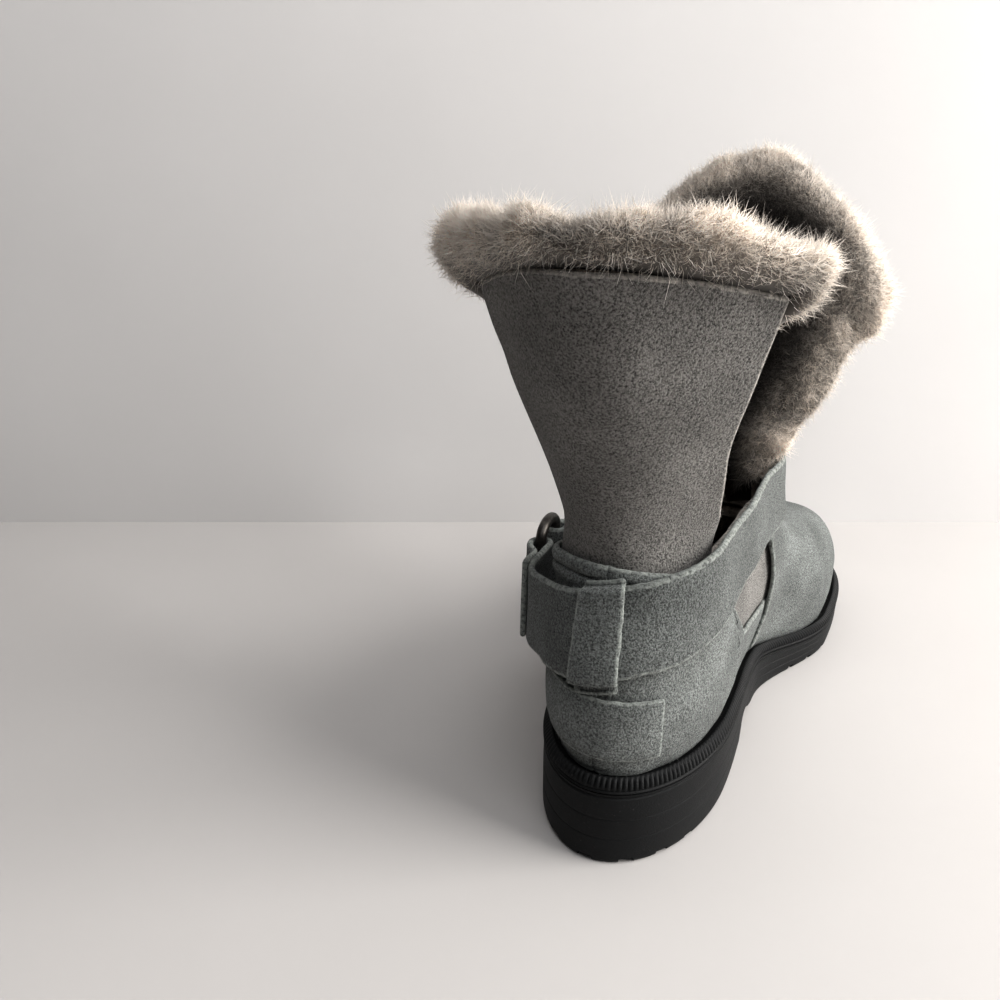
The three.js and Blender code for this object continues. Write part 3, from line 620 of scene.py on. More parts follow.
def nap_leather(name, colour, raw, grain_mm, contrast, blotches, sheen, pebble_mm=None):
    """Leather with a brushed or pebbled face: grain, stroked patches, and a lighter raw edge."""
    material, add = new_material(name)
    if add is None:
        return material
    where = add("ShaderNodeTexCoord", "Object")
    relief = add("ShaderNodeTexNoise", "Fac", {
        "Vector": where, "Scale": 1000 / grain_mm, "Detail": 3.0, "Roughness": 0.72,
    })
    low, high = 0.38, 0.62
    if pebble_mm:
        cells = add("ShaderNodeTexVoronoi", "Distance", {
            "Vector": where, "Scale": 1000 / pebble_mm, "Smoothness": 0.2,
        }, feature="SMOOTH_F1")
        pores = add("ShaderNodeMapRange", "Result", {"Value": cells, "From Max": 0.45, "To Min": 0.72})
        relief = add("ShaderNodeMath", "Value", {0: relief, 1: pores}, operation="MULTIPLY")
        low, high = 0.3, 0.58
    grain = add("ShaderNodeMapRange", "Result", {"Value": relief, "From Min": low, "From Max": high})
    tint = add("ShaderNodeValToRGB", "Color", {"Fac": grain}, stops=[
        (0.0, shaded(colour, 1 - contrast)), (1.0, shaded(colour, 1 + contrast * 0.85)),
    ])
    broad = add("ShaderNodeTexNoise", "Fac", {"Vector": where, "Scale": 1000 / 26, "Roughness": 0.55})
    stroke = add("ShaderNodeMapRange", "Result", {
        "Value": broad, "From Min": 0.3, "From Max": 0.7, "To Min": 1 - blotches, "To Max": 1 + blotches,
    })
    stroked = add("ShaderNodeVectorMath", "Vector", {0: tint, 1: stroke}, operation="MULTIPLY")
    edge = add("ShaderNodeAttribute", "Fac", attribute_name="edge")
    tears = add("ShaderNodeTexNoise", "Fac", {"Vector": where, "Scale": 1000 / 1.4})
    torn = add("ShaderNodeMath", "Value", {0: edge, 1: tears}, operation="MULTIPLY")
    share = add("ShaderNodeMapRange", "Result", {
        "Value": torn, "From Min": 0.3, "From Max": 0.6, "To Max": 0.8,
    })
    mixed = add("ShaderNodeMix", "Result", {"Factor": share, "A": stroked, "B": raw}, data_type="RGBA")
    bump = add("ShaderNodeBump", "Normal", {"Height": relief, "Strength": 1.0, "Distance": 0.001})
    shader = add("ShaderNodeBsdfPrincipled", "BSDF", {
        "Base Color": mixed, "Roughness": 0.95, "IOR": 1.45, "Specular IOR Level": 0.12,
        "Sheen Weight": sheen, "Sheen Roughness": 0.55, "Normal": bump,
    })
    add("ShaderNodeOutputMaterial", None, {"Surface": shader})
    return material


def foot_suede(tone=1.0, name="brushed split suede"):
    # Split cowhide suede, brushed on the flesh side: a matte felt of fibres that shows stroked light and
    # dark patches, and a paler torn fringe at each cut edge. The nap is 0.2 mm; it is drawn at 0.7 mm to
    # show.
    # tone scales the suede's colour: the strap's copy is darker, and the loops' lighter copy is painted
    # light.
    colours = bpy.context.scene.boot_colours
    return nap_leather(
        name, shaded(colours.suede, tone), colours.suede_raw,
        grain_mm=0.68, contrast=0.66, blotches=0.26, sheen=0.15,
    )


def shaft_skin():
    # Sheepskin finished on the skin side by sueding: a softer, browner face with a pebble of pores and
    # short nap, and a pale line where the skin is cut. The pebble is finer than 0.5 mm; it is drawn at 0.9
    # mm to show.
    colours = bpy.context.scene.boot_colours
    return nap_leather(
        "sueded sheepskin", colours.skin, colours.skin_raw,
        grain_mm=0.66, contrast=0.8, blotches=0.18, sheen=0.12, pebble_mm=0.891,
    )


def pile_wool():
    # Shorn merino pile, tip-bleached: dull fibres, dark at the skin and pale at the ends, with a soft glow
    # where light comes through the ends. How pale the ends get is partly painted shade: they stay dark deep
    # inside the front panel and low down in both panels, where shade falls, and the sheen is turned down with
    # them; tone is lighter on the raised lumps of the wool and darker in its hollows, painted shade on top of
    # random tone. The fibres are 0.02 mm thick; they are drawn fewer and 0.27 mm wide to show.
    material, add = new_material("tip-bleached merino pile with painted shade")
    if add is None:
        return material
    colours = bpy.context.scene.boot_colours
    along, tone, frost = (
        add("ShaderNodeAttribute", "Fac", attribute_name=name) for name in ("tip", "tone", "frost")
    )
    place = add("ShaderNodeMath", "Value", {0: along, 1: frost}, operation="MULTIPLY")
    ramp = add("ShaderNodeValToRGB", "Color", {"Fac": place}, stops=[
        (0.0, colours.wool_root), (0.3, colours.wool_middle), (0.65, colours.wool_tip),
    ])
    level = add("ShaderNodeMapRange", "Result", {
        "Value": tone, "From Min": -1.0, "From Max": 1.0, "To Min": 0.78, "To Max": 1.5,
    })
    toned = add("ShaderNodeVectorMath", "Vector", {0: ramp, 1: level}, operation="MULTIPLY")
    shader = add("ShaderNodeBsdfPrincipled", "BSDF", {
        "Base Color": toned, "Roughness": 0.8, "IOR": 1.55, "Specular IOR Level": 0.1,
        "Sheen Weight": frost, "Sheen Roughness": 0.6, "Sheen Tint": (0.95, 0.92, 0.88, 1.0),
    })
    through = add("ShaderNodeBsdfTranslucent", "BSDF", {"Color": toned})
    both = add("ShaderNodeMixShader", "Shader", {0: 0.5, 1: shader, 2: through})
    add("ShaderNodeOutputMaterial", None, {"Surface": both})
    return material


def pressed_wool():
    # The same wool walked flat inside the boot: matted, in curls about 3 mm across.
    material, add = new_material("matted merino wool")
    if add is None:
        return material
    colours = bpy.context.scene.boot_colours
    curl = add("ShaderNodeTexNoise", "Fac", {
        "Vector": add("ShaderNodeTexCoord", "Object"), "Scale": 1000 / 3, "Detail": 4.0, "Roughness": 0.7,
    })
    ramp = add("ShaderNodeValToRGB", "Color", {"Fac": curl}, stops=[
        (0.3, colours.wool_root), (0.75, colours.wool_middle),
    ])
    relief = add("ShaderNodeBump", "Normal", {"Height": curl, "Strength": 1.0, "Distance": 0.0015})
    shader = add("ShaderNodeBsdfPrincipled", "BSDF", {
        "Base Color": ramp, "Roughness": 0.95, "Specular IOR Level": 0.1,
        "Sheen Weight": 0.35, "Sheen Roughness": 0.6, "Normal": relief,
    })
    add("ShaderNodeOutputMaterial", None, {"Surface": shader})
    return material


def moulded_rubber():
    # Natural rubber moulded against a blasted steel tool: nearly black, dull, with an orange-peel and a few
    # pale specks of dust and wear. The blast's own grain is 0.1 mm; it is drawn at 0.5 mm to show.
    material, add = new_material("moulded black rubber")
    if add is None:
        return material
    colour = bpy.context.scene.boot_colours.rubber
    where = add("ShaderNodeTexCoord", "Object")
    peel, smear = (
        add("ShaderNodeTexNoise", "Fac", {
            "Vector": where, "Scale": 1000 / size, "Detail": 3.0, "Roughness": 0.6,
        }) for size in (0.5, 14)
    )
    dust = add("ShaderNodeTexNoise", "Fac", {"Vector": where, "Scale": 1000 / 0.9, "Detail": 1.0})
    specks = add("ShaderNodeMapRange", "Result", {
        "Value": dust, "From Min": 0.72, "From Max": 0.8, "To Max": 0.25,
    })
    tint = add("ShaderNodeValToRGB", "Color", {"Fac": smear}, stops=[
        (0.3, shaded(colour, 0.8)), (0.75, shaded(colour, 1.5)),
    ])
    dusty = add("ShaderNodeMix", "Result", {
        "Factor": specks, "A": tint, "B": linear("#6f6d6a"),
    }, data_type="RGBA")
    rough = add("ShaderNodeMapRange", "Result", {"Value": smear, "To Min": 0.5, "To Max": 0.68})
    relief = add("ShaderNodeBump", "Normal", {"Height": peel, "Strength": 0.55, "Distance": 0.0003})
    shader = add("ShaderNodeBsdfPrincipled", "BSDF", {
        "Base Color": dusty, "Roughness": rough, "IOR": 1.52, "Specular IOR Level": 0.22, "Normal": relief,
    })
    add("ShaderNodeOutputMaterial", None, {"Surface": shader})
    return material


def dark_pewter():
    # Zinc die casting plated and stained dark, then rubbed: dark in its low places, greyer and smoother on
    # top.
    material, add = new_material("antique pewter plating")
    if add is None:
        return material
    colour = bpy.context.scene.boot_colours.metal
    wear = add("ShaderNodeTexNoise", "Fac", {
        "Vector": add("ShaderNodeTexCoord", "Object"), "Scale": 1000 / 2.2, "Detail": 4.0, "Roughness": 0.6,
    })
    tint = add("ShaderNodeValToRGB", "Color", {"Fac": wear}, stops=[
        (0.35, shaded(colour, 0.6)), (0.7, shaded(colour, 1.5)),
    ])
    rough = add("ShaderNodeMapRange", "Result", {"Value": wear, "To Min": 0.5, "To Max": 0.3})
    relief = add("ShaderNodeBump", "Normal", {"Height": wear, "Strength": 0.25, "Distance": 0.0002})
    shader = add("ShaderNodeBsdfPrincipled", "BSDF", {
        "Base Color": tint, "Metallic": 0.9, "Roughness": rough, "Normal": relief,
    })
    add("ShaderNodeOutputMaterial", None, {"Surface": shader})
    return material


def thread():
    # Bonded nylon sewing thread, twisted from three plies: a slightly shiny strand. The plies are finer than
    # 0.5 mm; they are drawn as soft bands 1 mm apart to show.
    material, add = new_material("bonded nylon thread")
    if add is None:
        return material
    colour = bpy.context.scene.boot_colours.thread
    ply = add("ShaderNodeTexWave", "Fac", {
        "Vector": add("ShaderNodeTexCoord", "Object"), "Scale": 320.0, "Distortion": 1.5,
    })
    tint = add("ShaderNodeValToRGB", "Color", {"Fac": ply}, stops=[
        (0.2, shaded(colour, 0.7)), (0.8, shaded(colour, 1.2)),
    ])
    relief = add("ShaderNodeBump", "Normal", {"Height": ply, "Strength": 0.4, "Distance": 0.0001})
    shader = add("ShaderNodeBsdfPrincipled", "BSDF", {
        "Base Color": tint, "Roughness": 0.55, "Normal": relief,
    })
    add("ShaderNodeOutputMaterial", None, {"Surface": shader})
    return material


def plain_paint(name, code, roughness):
    # Emulsion paint rolled on a flat board: even and matte, with a faint mottle. The board is clear from
    # behind, so that the boot can be looked at from every side.
    material, add = new_material(name)
    if add is None:
        return material
    mottle = add("ShaderNodeTexNoise", "Fac", {
        "Vector": add("ShaderNodeTexCoord", "Object"), "Scale": 1000 / 120,
    })
    tint = add("ShaderNodeValToRGB", "Color", {"Fac": mottle}, stops=[
        (0.3, shaded(linear(code), 0.985)), (0.7, shaded(linear(code), 1.01)),
    ])
    shader = add("ShaderNodeBsdfPrincipled", "BSDF", {"Base Color": tint, "Roughness": roughness})
    behind = add("ShaderNodeNewGeometry", "Backfacing")
    clear = add("ShaderNodeBsdfTransparent", "BSDF")
    board = add("ShaderNodeMixShader", "Shader", {0: behind, 1: shader, 2: clear})
    add("ShaderNodeOutputMaterial", None, {"Surface": board})
    return material


# ---------------------------------------------------------------- sole


def sole_outline(grow, stations):
    """Points of the sole's outline, offset out by grow, paired medial and lateral, with z left at 0."""
    phi = np.pi * stations
    t = (1 - np.cos(phi)) / 2
    y = lerp(2.5 - grow, SOLE_LENGTH - 5.5 + grow, t)
    shift = TIP_X * smooth(t, 0.5, 1)
    end = np.where((stations <= 0) | (stations >= 1), 1.2, 0)
    widths = [FOOT[name][0] for name in ("heelM", "midM", "ballM", "heelL", "midL", "ballL")]
    medial = half_width(t, *(w + grow for w in widths[:3]), MEDIAL_NOSE)
    lateral = half_width(t, *(w + grow for w in widths[3:]), LATERAL_NOSE)
    one = np.stack([shift + np.maximum(medial, end), y, 0 * y], -1)
    other = np.stack([shift - np.maximum(lateral, end), y, 0 * y], -1)
    return np.concatenate([one, other[::-1]])


def with_height(outline, height):
    made = outline.copy()
    made[:, 2] = height(outline[:, 1])
    return made


def tread_z(y):
    return TOE_SPRING * np.maximum(0, (y - 205) / (SOLE_LENGTH - 205)) ** 2


def side_prism(outline, half_span=90):
    """A prism across the boot over a closed side view outline of (y, z) points."""
    flat = np.array(outline, float)
    count = len(flat)
    near = np.column_stack([np.full(count, -half_span), flat])
    far = np.column_stack([np.full(count, half_span), flat])
    i = np.arange(count)
    j = (i + 1) % count
    walls = np.stack([i, i + count, j + count, j], -1)
    return part(np.concatenate([near, far]), [walls, i[None, :], i[None, ::-1] + count])


def groove_box(x, y, angle, width, length, depth):
    """A box that cuts one groove of the tread, turned about the vertical."""
    c, s = np.cos(angle), np.sin(angle)
    corners = []
    for z in (-depth, depth):
        for a, b in ((-1, -1), (1, -1), (1, 1), (-1, 1)):
            u, v = a * width / 2, b * length / 2
            corners.append((x + c * u - s * v, y + s * u + c * v, z))
    faces = np.array([(3, 2, 1, 0), (4, 5, 6, 7), (0, 1, 5, 4), (1, 2, 6, 5), (2, 3, 7, 6), (3, 0, 4, 7)])
    return part(corners, faces)


def tread_cutters():
    """The arch behind the ball and the grooves between the lugs of heel and forefoot."""
    front = [(99, 11), (103, 8.6), (108, 5.8), (114, 3.3), (120, 1.5), (126, 0.4), (130, -0.01), (130, -5)]
    arch = [(86, -5), (88, 11), (89.5, 12.2), (91.8, 12.8), (95, 12.4)] + front
    cutters = [side_prism(arch)]
    for angle in np.linspace(-1.25, 1.25, 7):
        cutters.append(groove_box(27 * np.sin(angle), 36 - 30 * np.cos(angle), angle, 5, 22, 2.2))
    for y in 158 + 15 * np.arange(5):
        for side in (-1, 1):
            cutters.append(groove_box(side * 38, y, side * 1.35, 4, 40, 2.2 + tread_z(y)))
    return join(*cutters)


def make_outsole():
    """Block heel, waist and forefoot in one moulding, with a chamfer and two lines round its side wall."""
    stations = np.linspace(0, 1, 121)
    wall = [
        (3.2, 0, 0.0), (4.0, 0, 0.5), (4.5, 0, 1.4), (4.7, 0, 2.4),
        (4.8, 0.34, 0), (4.76, 0.36, 0), (4.62, 0.37, 0), (4.76, 0.38, 0), (4.8, 0.4, 0),
        (4.85, 0.62, 0), (4.81, 0.64, 0), (4.67, 0.65, 0), (4.81, 0.66, 0), (4.85, 0.69, 0),
        (4.7, 1, -2.0), (4.2, 1, -1.7), (4.1, 1, -1.2), (4.5, 1, -0.9), (4.8, 1, -0.4), (4.75, 1, 0.0),
    ]
    top = 3.75
    rings = []
    for grow, share, rise in wall:
        height = lambda y: lerp(tread_z(y), feather_z(y) - top, share) + rise
        rings.append(with_height(sole_outline(grow, stations), height))
    sharp = 35
    body = build("outsole_rubber", block(rings), moulded_rubber(), ["outsole"], angle=sharp)
    cutter_mesh = tread_cutters()
    cutter = bpy.data.objects.new("cutter", bpy.data.meshes.new("cutter"))
    points = (cutter_mesh["points"] - (0, HEEL_CENTRE_Y, 0)) * 0.001
    faces = [face for group in cutter_mesh["faces"] for face in group.tolist()]
    cutter.data.from_pydata(points.tolist(), [], faces)
    bpy.context.scene.collection.objects.link(cutter)
    cut = body.modifiers.new("tread", "BOOLEAN")
    cut.operation = "DIFFERENCE"
    cut.solver = "EXACT"
    cut.object = cutter
    bpy.context.view_layer.update()
    finished = bpy.data.meshes.new_from_object(body.evaluated_get(bpy.context.evaluated_depsgraph_get()))
    body.modifiers.clear()
    body.data = finished
    bpy.data.objects.remove(cutter)
    finished.set_sharp_from_angle(angle=np.radians(sharp))


def make_welt():
    """Ribbed rubber strip round the top of the sole: rounded ribs side by side, with a plain bead below."""
    pitch = bpy.context.scene.boot_sizes.rib_pitch * 1000
    profile = np.array([
        (-5.5, -3.3, 0), (4.7, -3.3, 0), (5.05, -2.9, 0), (4.95, -2.45, 0), (4.5, -2.2, 0.1),
        (4.95, -1.5, 1), (4.75, -0.5, 1), (3.9, 0.65, 1), (2.9, 1.75, 0.7),
        (2.3, 1.95, 0), (1.9, 1.6, 0), (1.2, -0.6, 0), (-5.5, -0.6, 0),
    ])
    stations = np.linspace(0, 1, 400)
    loop = sole_outline(5, stations)
    run = travelled(np.concatenate([loop, loop[:1]]))
    ribs = int(run[-1] / pitch)
    at = np.linspace(0, run[-1], ribs * 4, endpoint=False)
    wave = np.array([0.45, 0.3, -0.55, 0.3])[np.arange(len(at)) % 4]
    rings = []
    for grow, rise, ribbed in profile:
        outline = sole_outline(grow, stations)
        even = along_path(np.concatenate([outline, outline[:1]]), run, at)
        along = np.roll(even, -1, axis=0) - np.roll(even, 1, axis=0)
        out = unit(np.cross(along, (0, 0, 1)))
        even = even + out * (ribbed * wave * 0.62)[:, None]
        even[:, 2] = feather_z(even[:, 1]) + rise + ribbed * wave * 0.35
        rings.append(even)
    rings = np.stack(rings, 1)
    faces = grid_faces(len(at) + 1, len(profile), True) % (len(at) * len(profile))
    build("welt_rubber", part(rings, faces[:, ::-1]), moulded_rubber(), ["welt"], angle=50)


def make_insole():
    """Wool-topped footbed: a soft uneven top with short matted tufts."""
    rng = np.random.default_rng(3)
    grow = -LINING_DEPTH - 2.3
    stations = np.linspace(0, 1, 90)
    base = block([
        with_height(sole_outline(grow - inset, stations), lambda y: feather_z(y) + rise)
        for inset, rise in ((0, -3.1), (0, 1.5), (0.6, 3.0), (2.0, 3.6))
    ])
    count = 4500
    t = rng.uniform(0.02, 0.98, count)
    outline = sole_outline(grow - 2.5, t)
    share = rng.uniform(0, 1, count)[:, None]
    roots = lerp(outline[:count], outline[::-1][:count], share)
    roots[:, 2] = feather_z(roots[:, 1]) + 3.2
    lean = unit(np.array([0, 0, 1.0]) + 0.55 * rng.normal(size=(count, 3)))
    tufts = fibres(
        roots, lean, rng.uniform(1.6, 3.2, count), 0.5 * rng.normal(size=(count, 3)), 0.6, 2, rng,
        clump=locks(roots[:, 0], roots[:, 1], 4.0, 5), gather=0.5, crimp=0.4, frost=0.7,
    )
    build("insole_base", base, pressed_wool(), ["insole"])
    build("insole_tufts", tufts, pile_wool(), ["insole"], angle=180)


# ---------------------------------------------------------------- upper


def edge_turn(level, side, beyond=0):
    """Turn of the vamp's rear edge, or beyond mm in front of it, on the medial (1) or lateral (-1) side."""
    def behind(turn):
        p = foot_point(level, side * turn)
        return p[..., 1] < np.interp(p[..., 2], VAMP_REAR[:, 0], VAMP_REAR[:, 1]) + beyond
    return bisect(behind, 0 * level, 0.5)


def quarter_top(turn):
    def under(level):
        p = foot_point(level, turn)
        return p[..., 2] < np.interp(p[..., 1], QUARTER_TOP[:, 0], QUARTER_TOP[:, 1])
    return bisect(under, 0 * turn, TOP_LEVEL)


def soft_edges(count, bunch=0.6):
    """Numbers from 0 to 1 that are closer together at both ends."""
    t = np.linspace(0, 1, count)
    return lerp(t, (1 - np.cos(np.pi * t)) / 2, bunch)


def make_vamp():
    """One piece of suede over toe and instep, whose rear edges lie on the quarter."""
    suede = bpy.context.scene.boot_sizes.suede * 1000
    v = soft_edges(78)[:, None]
    u = soft_edges(144, 0.3)[None, :]
    corner = 7.0  # the level of the two upper rear corners
    medial = edge_turn(v * corner, 1)
    lateral = 1 - edge_turn(v * corner, -1)
    turn = lerp(medial, lateral, u)
    top = first_level(turn[-1], COLLAR_OPEN)
    top = np.minimum(top, TOP_LEVEL - 0.02)
    top[[0, -1]] = corner
    level = HEM_LEVEL + v * (top[None, :] - HEM_LEVEL)
    flat = foot_point(level, turn)
    normals = foot_normal(level, turn)
    side = np.minimum(np.abs(turn - medial), np.abs(lateral - turn))
    lift = 1.0 * np.exp(-side / 0.012) * smooth(level, 0.0, 0.6)
    wavy = 0.25 * noise(flat, 9, 2) + 0.12 * noise(flat, 3.5, 7)
    shaped = creased(flat, normals) + normals * (lift - suede / 2 + wavy)[..., None]
    frayed("vamp_suede", leather(shaped, suede), 11, 3, 0.9, foot_suede(), "upper")
    spread = np.linspace(0.36, 0.64, 60)
    row_height = 26  # of the foot's table here, in mm
    rows = []
    for inset in (3.0, 7.0):
        reach = first_level(spread, COLLAR_OPEN) - inset / row_height
        rows.append(stitches(off_foot(reach, spread, 0.15), foot_normal(reach, spread)))
    build("vamp_stitches", join(*rows), thread(), ["upper"], angle=180)


def make_quarter():
    """One piece of suede round the heel, with its centre-back seam and the V at the bottom of each slot."""
    suede = bpy.context.scene.boot_sizes.suede * 1000
    v = soft_edges(46)[:, None]
    u = np.linspace(-1, 1, 281)[None, :]
    u = u - 0.13 * np.sin(2 * np.pi * u) * np.exp(-(u * u) * 2)
    edge_level = v * 2.3
    under_vamp = 7
    medial = edge_turn(edge_level, 1, under_vamp)
    lateral = edge_turn(edge_level, -1, under_vamp)
    turn = np.where(u < 0, lateral * u, medial * u)
    top = quarter_top(turn)
    level = HEM_LEVEL + v * (top - HEM_LEVEL)
    flat = foot_point(level, turn)
    normals = foot_normal(level, turn)
    edge_y = np.interp(flat[..., 2], VAMP_REAR[:, 0], VAMP_REAR[:, 1])
    tuck = 1.15 * smooth(flat[..., 1], edge_y - 7, edge_y - 0.5)
    at_back = flat[..., 1] < 20
    seam = 0.75 * np.exp(-((flat[..., 0] / 0.8) ** 2)) * at_back
    pucker = 0.3 * np.exp(-((flat[..., 0] / 3.5) ** 2)) * np.sin(flat[..., 2] * 1.6) * at_back
    below = np.interp(flat[..., 1], QUARTER_TOP[:, 0], QUARTER_TOP[:, 1]) - flat[..., 2]
    rolled = 0.9 * np.exp(-(((below - 1.9) / 1.5) ** 2)) + 0.7 * np.exp(-(((below - 6.4) / 1.6) ** 2))
    rolled = rolled - 1.0 * np.exp(-(((below - 4.2) / 0.8) ** 2))
    rolled = rolled + 0.4 * smooth(12 - below, 0, 5) * noise(flat, 4.5, 4)
    ruffle = (1 - smooth(flat[..., 1], 30, 46)) * rolled
    wavy = 0.25 * noise(flat, 8, 3) + 0.1 * noise(flat, 3, 8)
    off = -suede / 2 - tuck - seam + pucker + ruffle + wavy
    shaped = creased(flat, normals) + normals * off[..., None]
    sheet = leather(shaped, suede, edge_width=1.6)
    frayed("quarter_suede", sheet, 12, 3, 0.9, foot_suede(), "upper")


def make_lining():
    """The pressed wool inside the foot, from the sole up to where the shaft's tube is tucked in."""
    turns = np.linspace(0, 1, 120, endpoint=False)
    tuck = first_level(turns, TUCK)
    v = np.linspace(0, 1, 20)[:, None]
    level = lerp(0.2, tuck[None, :] - 0.25, v)
    depth = 5.2 + 0.5 * noise(foot_point(level, turns), 4, 21)
    middle = off_foot(level, np.broadcast_to(turns, level.shape), -depth)
    build("foot_lining", leather(middle, 3.6, closed=True), pressed_wool(), ["upper"])


def make_heel_patch():
    """A plain suede patch sewn low on the back of the heel, with torn pale edges."""
    low, high, first, last = 42.5, 63.5, -0.086, 0.064
    z, turn = np.meshgrid(np.linspace(low, high, 22), np.linspace(first, last, 64), indexing="ij")
    ragged = 0.3 * noise(np.stack([turn * 900, z, 0 * z], -1), 2.2, 31)
    on_edge = (np.abs(z - 53) > 10.4) * 1.0
    level = level_at(turn, z + ragged * on_edge)
    normals = foot_normal(level, turn)
    puff = 0.35 * smooth(z, low, 46) * (1 - smooth(z, 60, high)) * smooth(turn, first, -0.07)
    puff = puff * (1 - smooth(turn, 0.05, last))
    middle = creased(foot_point(level, turn), normals) + normals * (1.3 + puff)[..., None]
    frayed("heel_patch", leather(middle, 1.4), 13, 4, 0.8, foot_suede(), "upper")


# ---------------------------------------------------------------- shaft


def panel_point(panel, s, t):
    """A panel's skin: s runs -1 to 1 across it, t 0 to 1 up it."""
    at = {
        name: column(values, np.clip(t, 0, 1) * (len(values) - 1)) for name, values in panel["rows"].items()
    }
    arch = np.sqrt(np.maximum(0, 1 - s * s)) if panel["dome"] else 1 - s * s
    x = lerp(at["left"], at["right"], (s + 1) / 2)
    y = lerp(at["yEdge"], at["yMid"], 1 - s * s)
    return np.stack([x, y, lerp(at["zEdge"], at["zMid"], arch)], -1)


def panel_frame(panel, s, t):
    """Unit directions on a panel: to the wool, up along the skin, and out past the nearer side edge."""
    s_in, t_in = np.clip(s, -0.96, 0.96), np.clip(t, 0.02, 0.98)
    across = panel_point(panel, s_in + 0.02, t_in) - panel_point(panel, s_in - 0.02, t_in)
    up = unit(panel_point(panel, s_in, t_in + 0.02) - panel_point(panel, s_in, t_in - 0.02))
    to_wool = unit(np.cross(up, across)) * panel["inwards"]
    out = unit(across) * np.sign(s + 1e-9)[..., None]
    return to_wool, up, out


def make_panel_skin(name, panel, seed):
    """The skin of one open panel: it leaves the tube at the collar and flares to its own top edge."""
    skin = bpy.context.scene.boot_sizes.skin * 1000
    s = np.sin(np.linspace(-1, 1, 80) * np.pi / 2)[None, :] * 0.999
    t = lerp(panel["start"], 1, soft_edges(66, 0.4))[:, None]
    s, t = s + 0 * t, t + 0 * s
    flat = panel_point(panel, s, t)
    around = np.arcsin(np.clip(s, -1, 1))
    turn = panel["centre"] + panel["side_turn"] * around / (np.pi / 2) * panel["inwards"]
    low = off_foot(level_at(turn, np.clip(flat[..., 2], 60, 120)), turn, -3.3)
    low[..., 2] = flat[..., 2]
    leave = smooth(flat[..., 2], *panel["leave"])
    to_wool = panel_frame(panel, s, t)[0]
    middle = lerp(low, flat + to_wool * skin / 2, leave[..., None])
    soft = 0.7 * noise(middle, 24, seed) + 0.3 * noise(middle, 9, seed + 1)
    soft = soft - panel["dent"] * np.exp(-(((flat[..., 0] + 22 - 26 * t) / 17) ** 2))
    middle = middle + to_wool * (soft * leave)[..., None]
    sheet = leather(middle[:, ::panel["inwards"]], skin, edge_width=0.8)
    frayed(name, sheet, seed, 2, 0.7, shaft_skin(), "shaft")


def wool_direction(panel, s, t, fan):
    """Which way a panel's wool stands, its length, the way to the wool, and how near the top and side edges
    are; fan, 0 to 1, leans it out past the edges."""
    rows = panel["rows"]
    height = (rows["zMid"][-1] - rows["zMid"][0]) * 1.02
    half = (column(rows["right"], t * 5) - column(rows["left"], t * 5)) / 2
    near_mm = 7
    to_wool, up, out = panel_frame(panel, s, t)
    strength = lerp(panel["low_side"], 1, smooth(t, panel["side_from"], 0.97)) * smooth(t, 0.12, 0.35)
    near_top = np.exp(-((1 - t) * height) / near_mm)
    nearest_side = np.exp(-((1 - np.abs(s)) * half) / near_mm)
    near_side = nearest_side * strength
    edgeward = unit(up * (near_top + 0.02)[..., None] + out * near_side[..., None])
    angle = np.pi / 2 * np.maximum(near_top, near_side) ** 0.8
    angle = angle + panel["fan"] * fan * np.maximum(near_top > 0.6, strength)
    way = to_wool * np.cos(angle)[..., None] + edgeward * np.sin(angle)[..., None]
    pile = bpy.context.scene.boot_sizes.pile * 1000
    sideways = np.where(s < 0, *panel["sides"])
    long = pile * (1 + panel["top"] * near_top + sideways * nearest_side * strength)
    return way, long, to_wool, near_top, near_side


def wool_face(panel, seed):
    """The lumpy face of a panel's wool, a grid that swells out past the panel's edges, and its values."""
    across, upward, beyond = 72, 54, 9
    past = np.linspace(0.1, 1, beyond)
    u = np.concatenate([-1 - past[::-1], np.sin(np.linspace(-1, 1, across) * np.pi / 2), 1 + past])[None, :]
    under = WOOL_START - np.linspace(0.1, 0.01, 3)
    w = np.concatenate([under, np.linspace(WOOL_START, 1, upward), 1 + past])[:, None]
    s, t = np.clip(u, -0.99, 0.99) + 0 * w, np.clip(w, WOOL_START, 1) + 0 * u
    over = np.maximum(np.maximum(np.abs(u) - 1, w - 1), np.clip((WOOL_START - w) / 0.1, 0, 1))
    over = np.clip(over, 0, 1)
    flat = panel_point(panel, s, t)
    way, long, to_wool, near_top, near_side = wool_direction(panel, s, t, over)
    reached = flat + to_wool * 2.0 + way * (long * 0.6)[..., None]
    lump = 3.0 * noise(reached, 15, seed) + 1.5 * noise(reached, 7, seed + 1)
    share = 0.62 * (1 - over**3) + 0.02
    face = flat + to_wool * 1.6 + way * (long * share + lump * (1 - over**4))[..., None]
    # The wool's ends are paler towards the rims, where the tips are bleached, and darker deep inside and low
    # down on each panel: partly painted shade, where the wool lies in shade.
    near = np.maximum(near_top, near_side)
    frost = lerp(panel["inner_frost_and_shade"], 1.0, smooth(near, 0.05, panel["frost"]))
    return {
        "face": face, "back": flat + to_wool * 1.5,
        "way": way, "normal": -panel["inwards"] * grid_normals(face),
        "near": near, "frost": frost * lerp(0.3, 1, smooth(t, 0.2, 0.5)), "lump": lump, "open": 1 - over**2,
    }


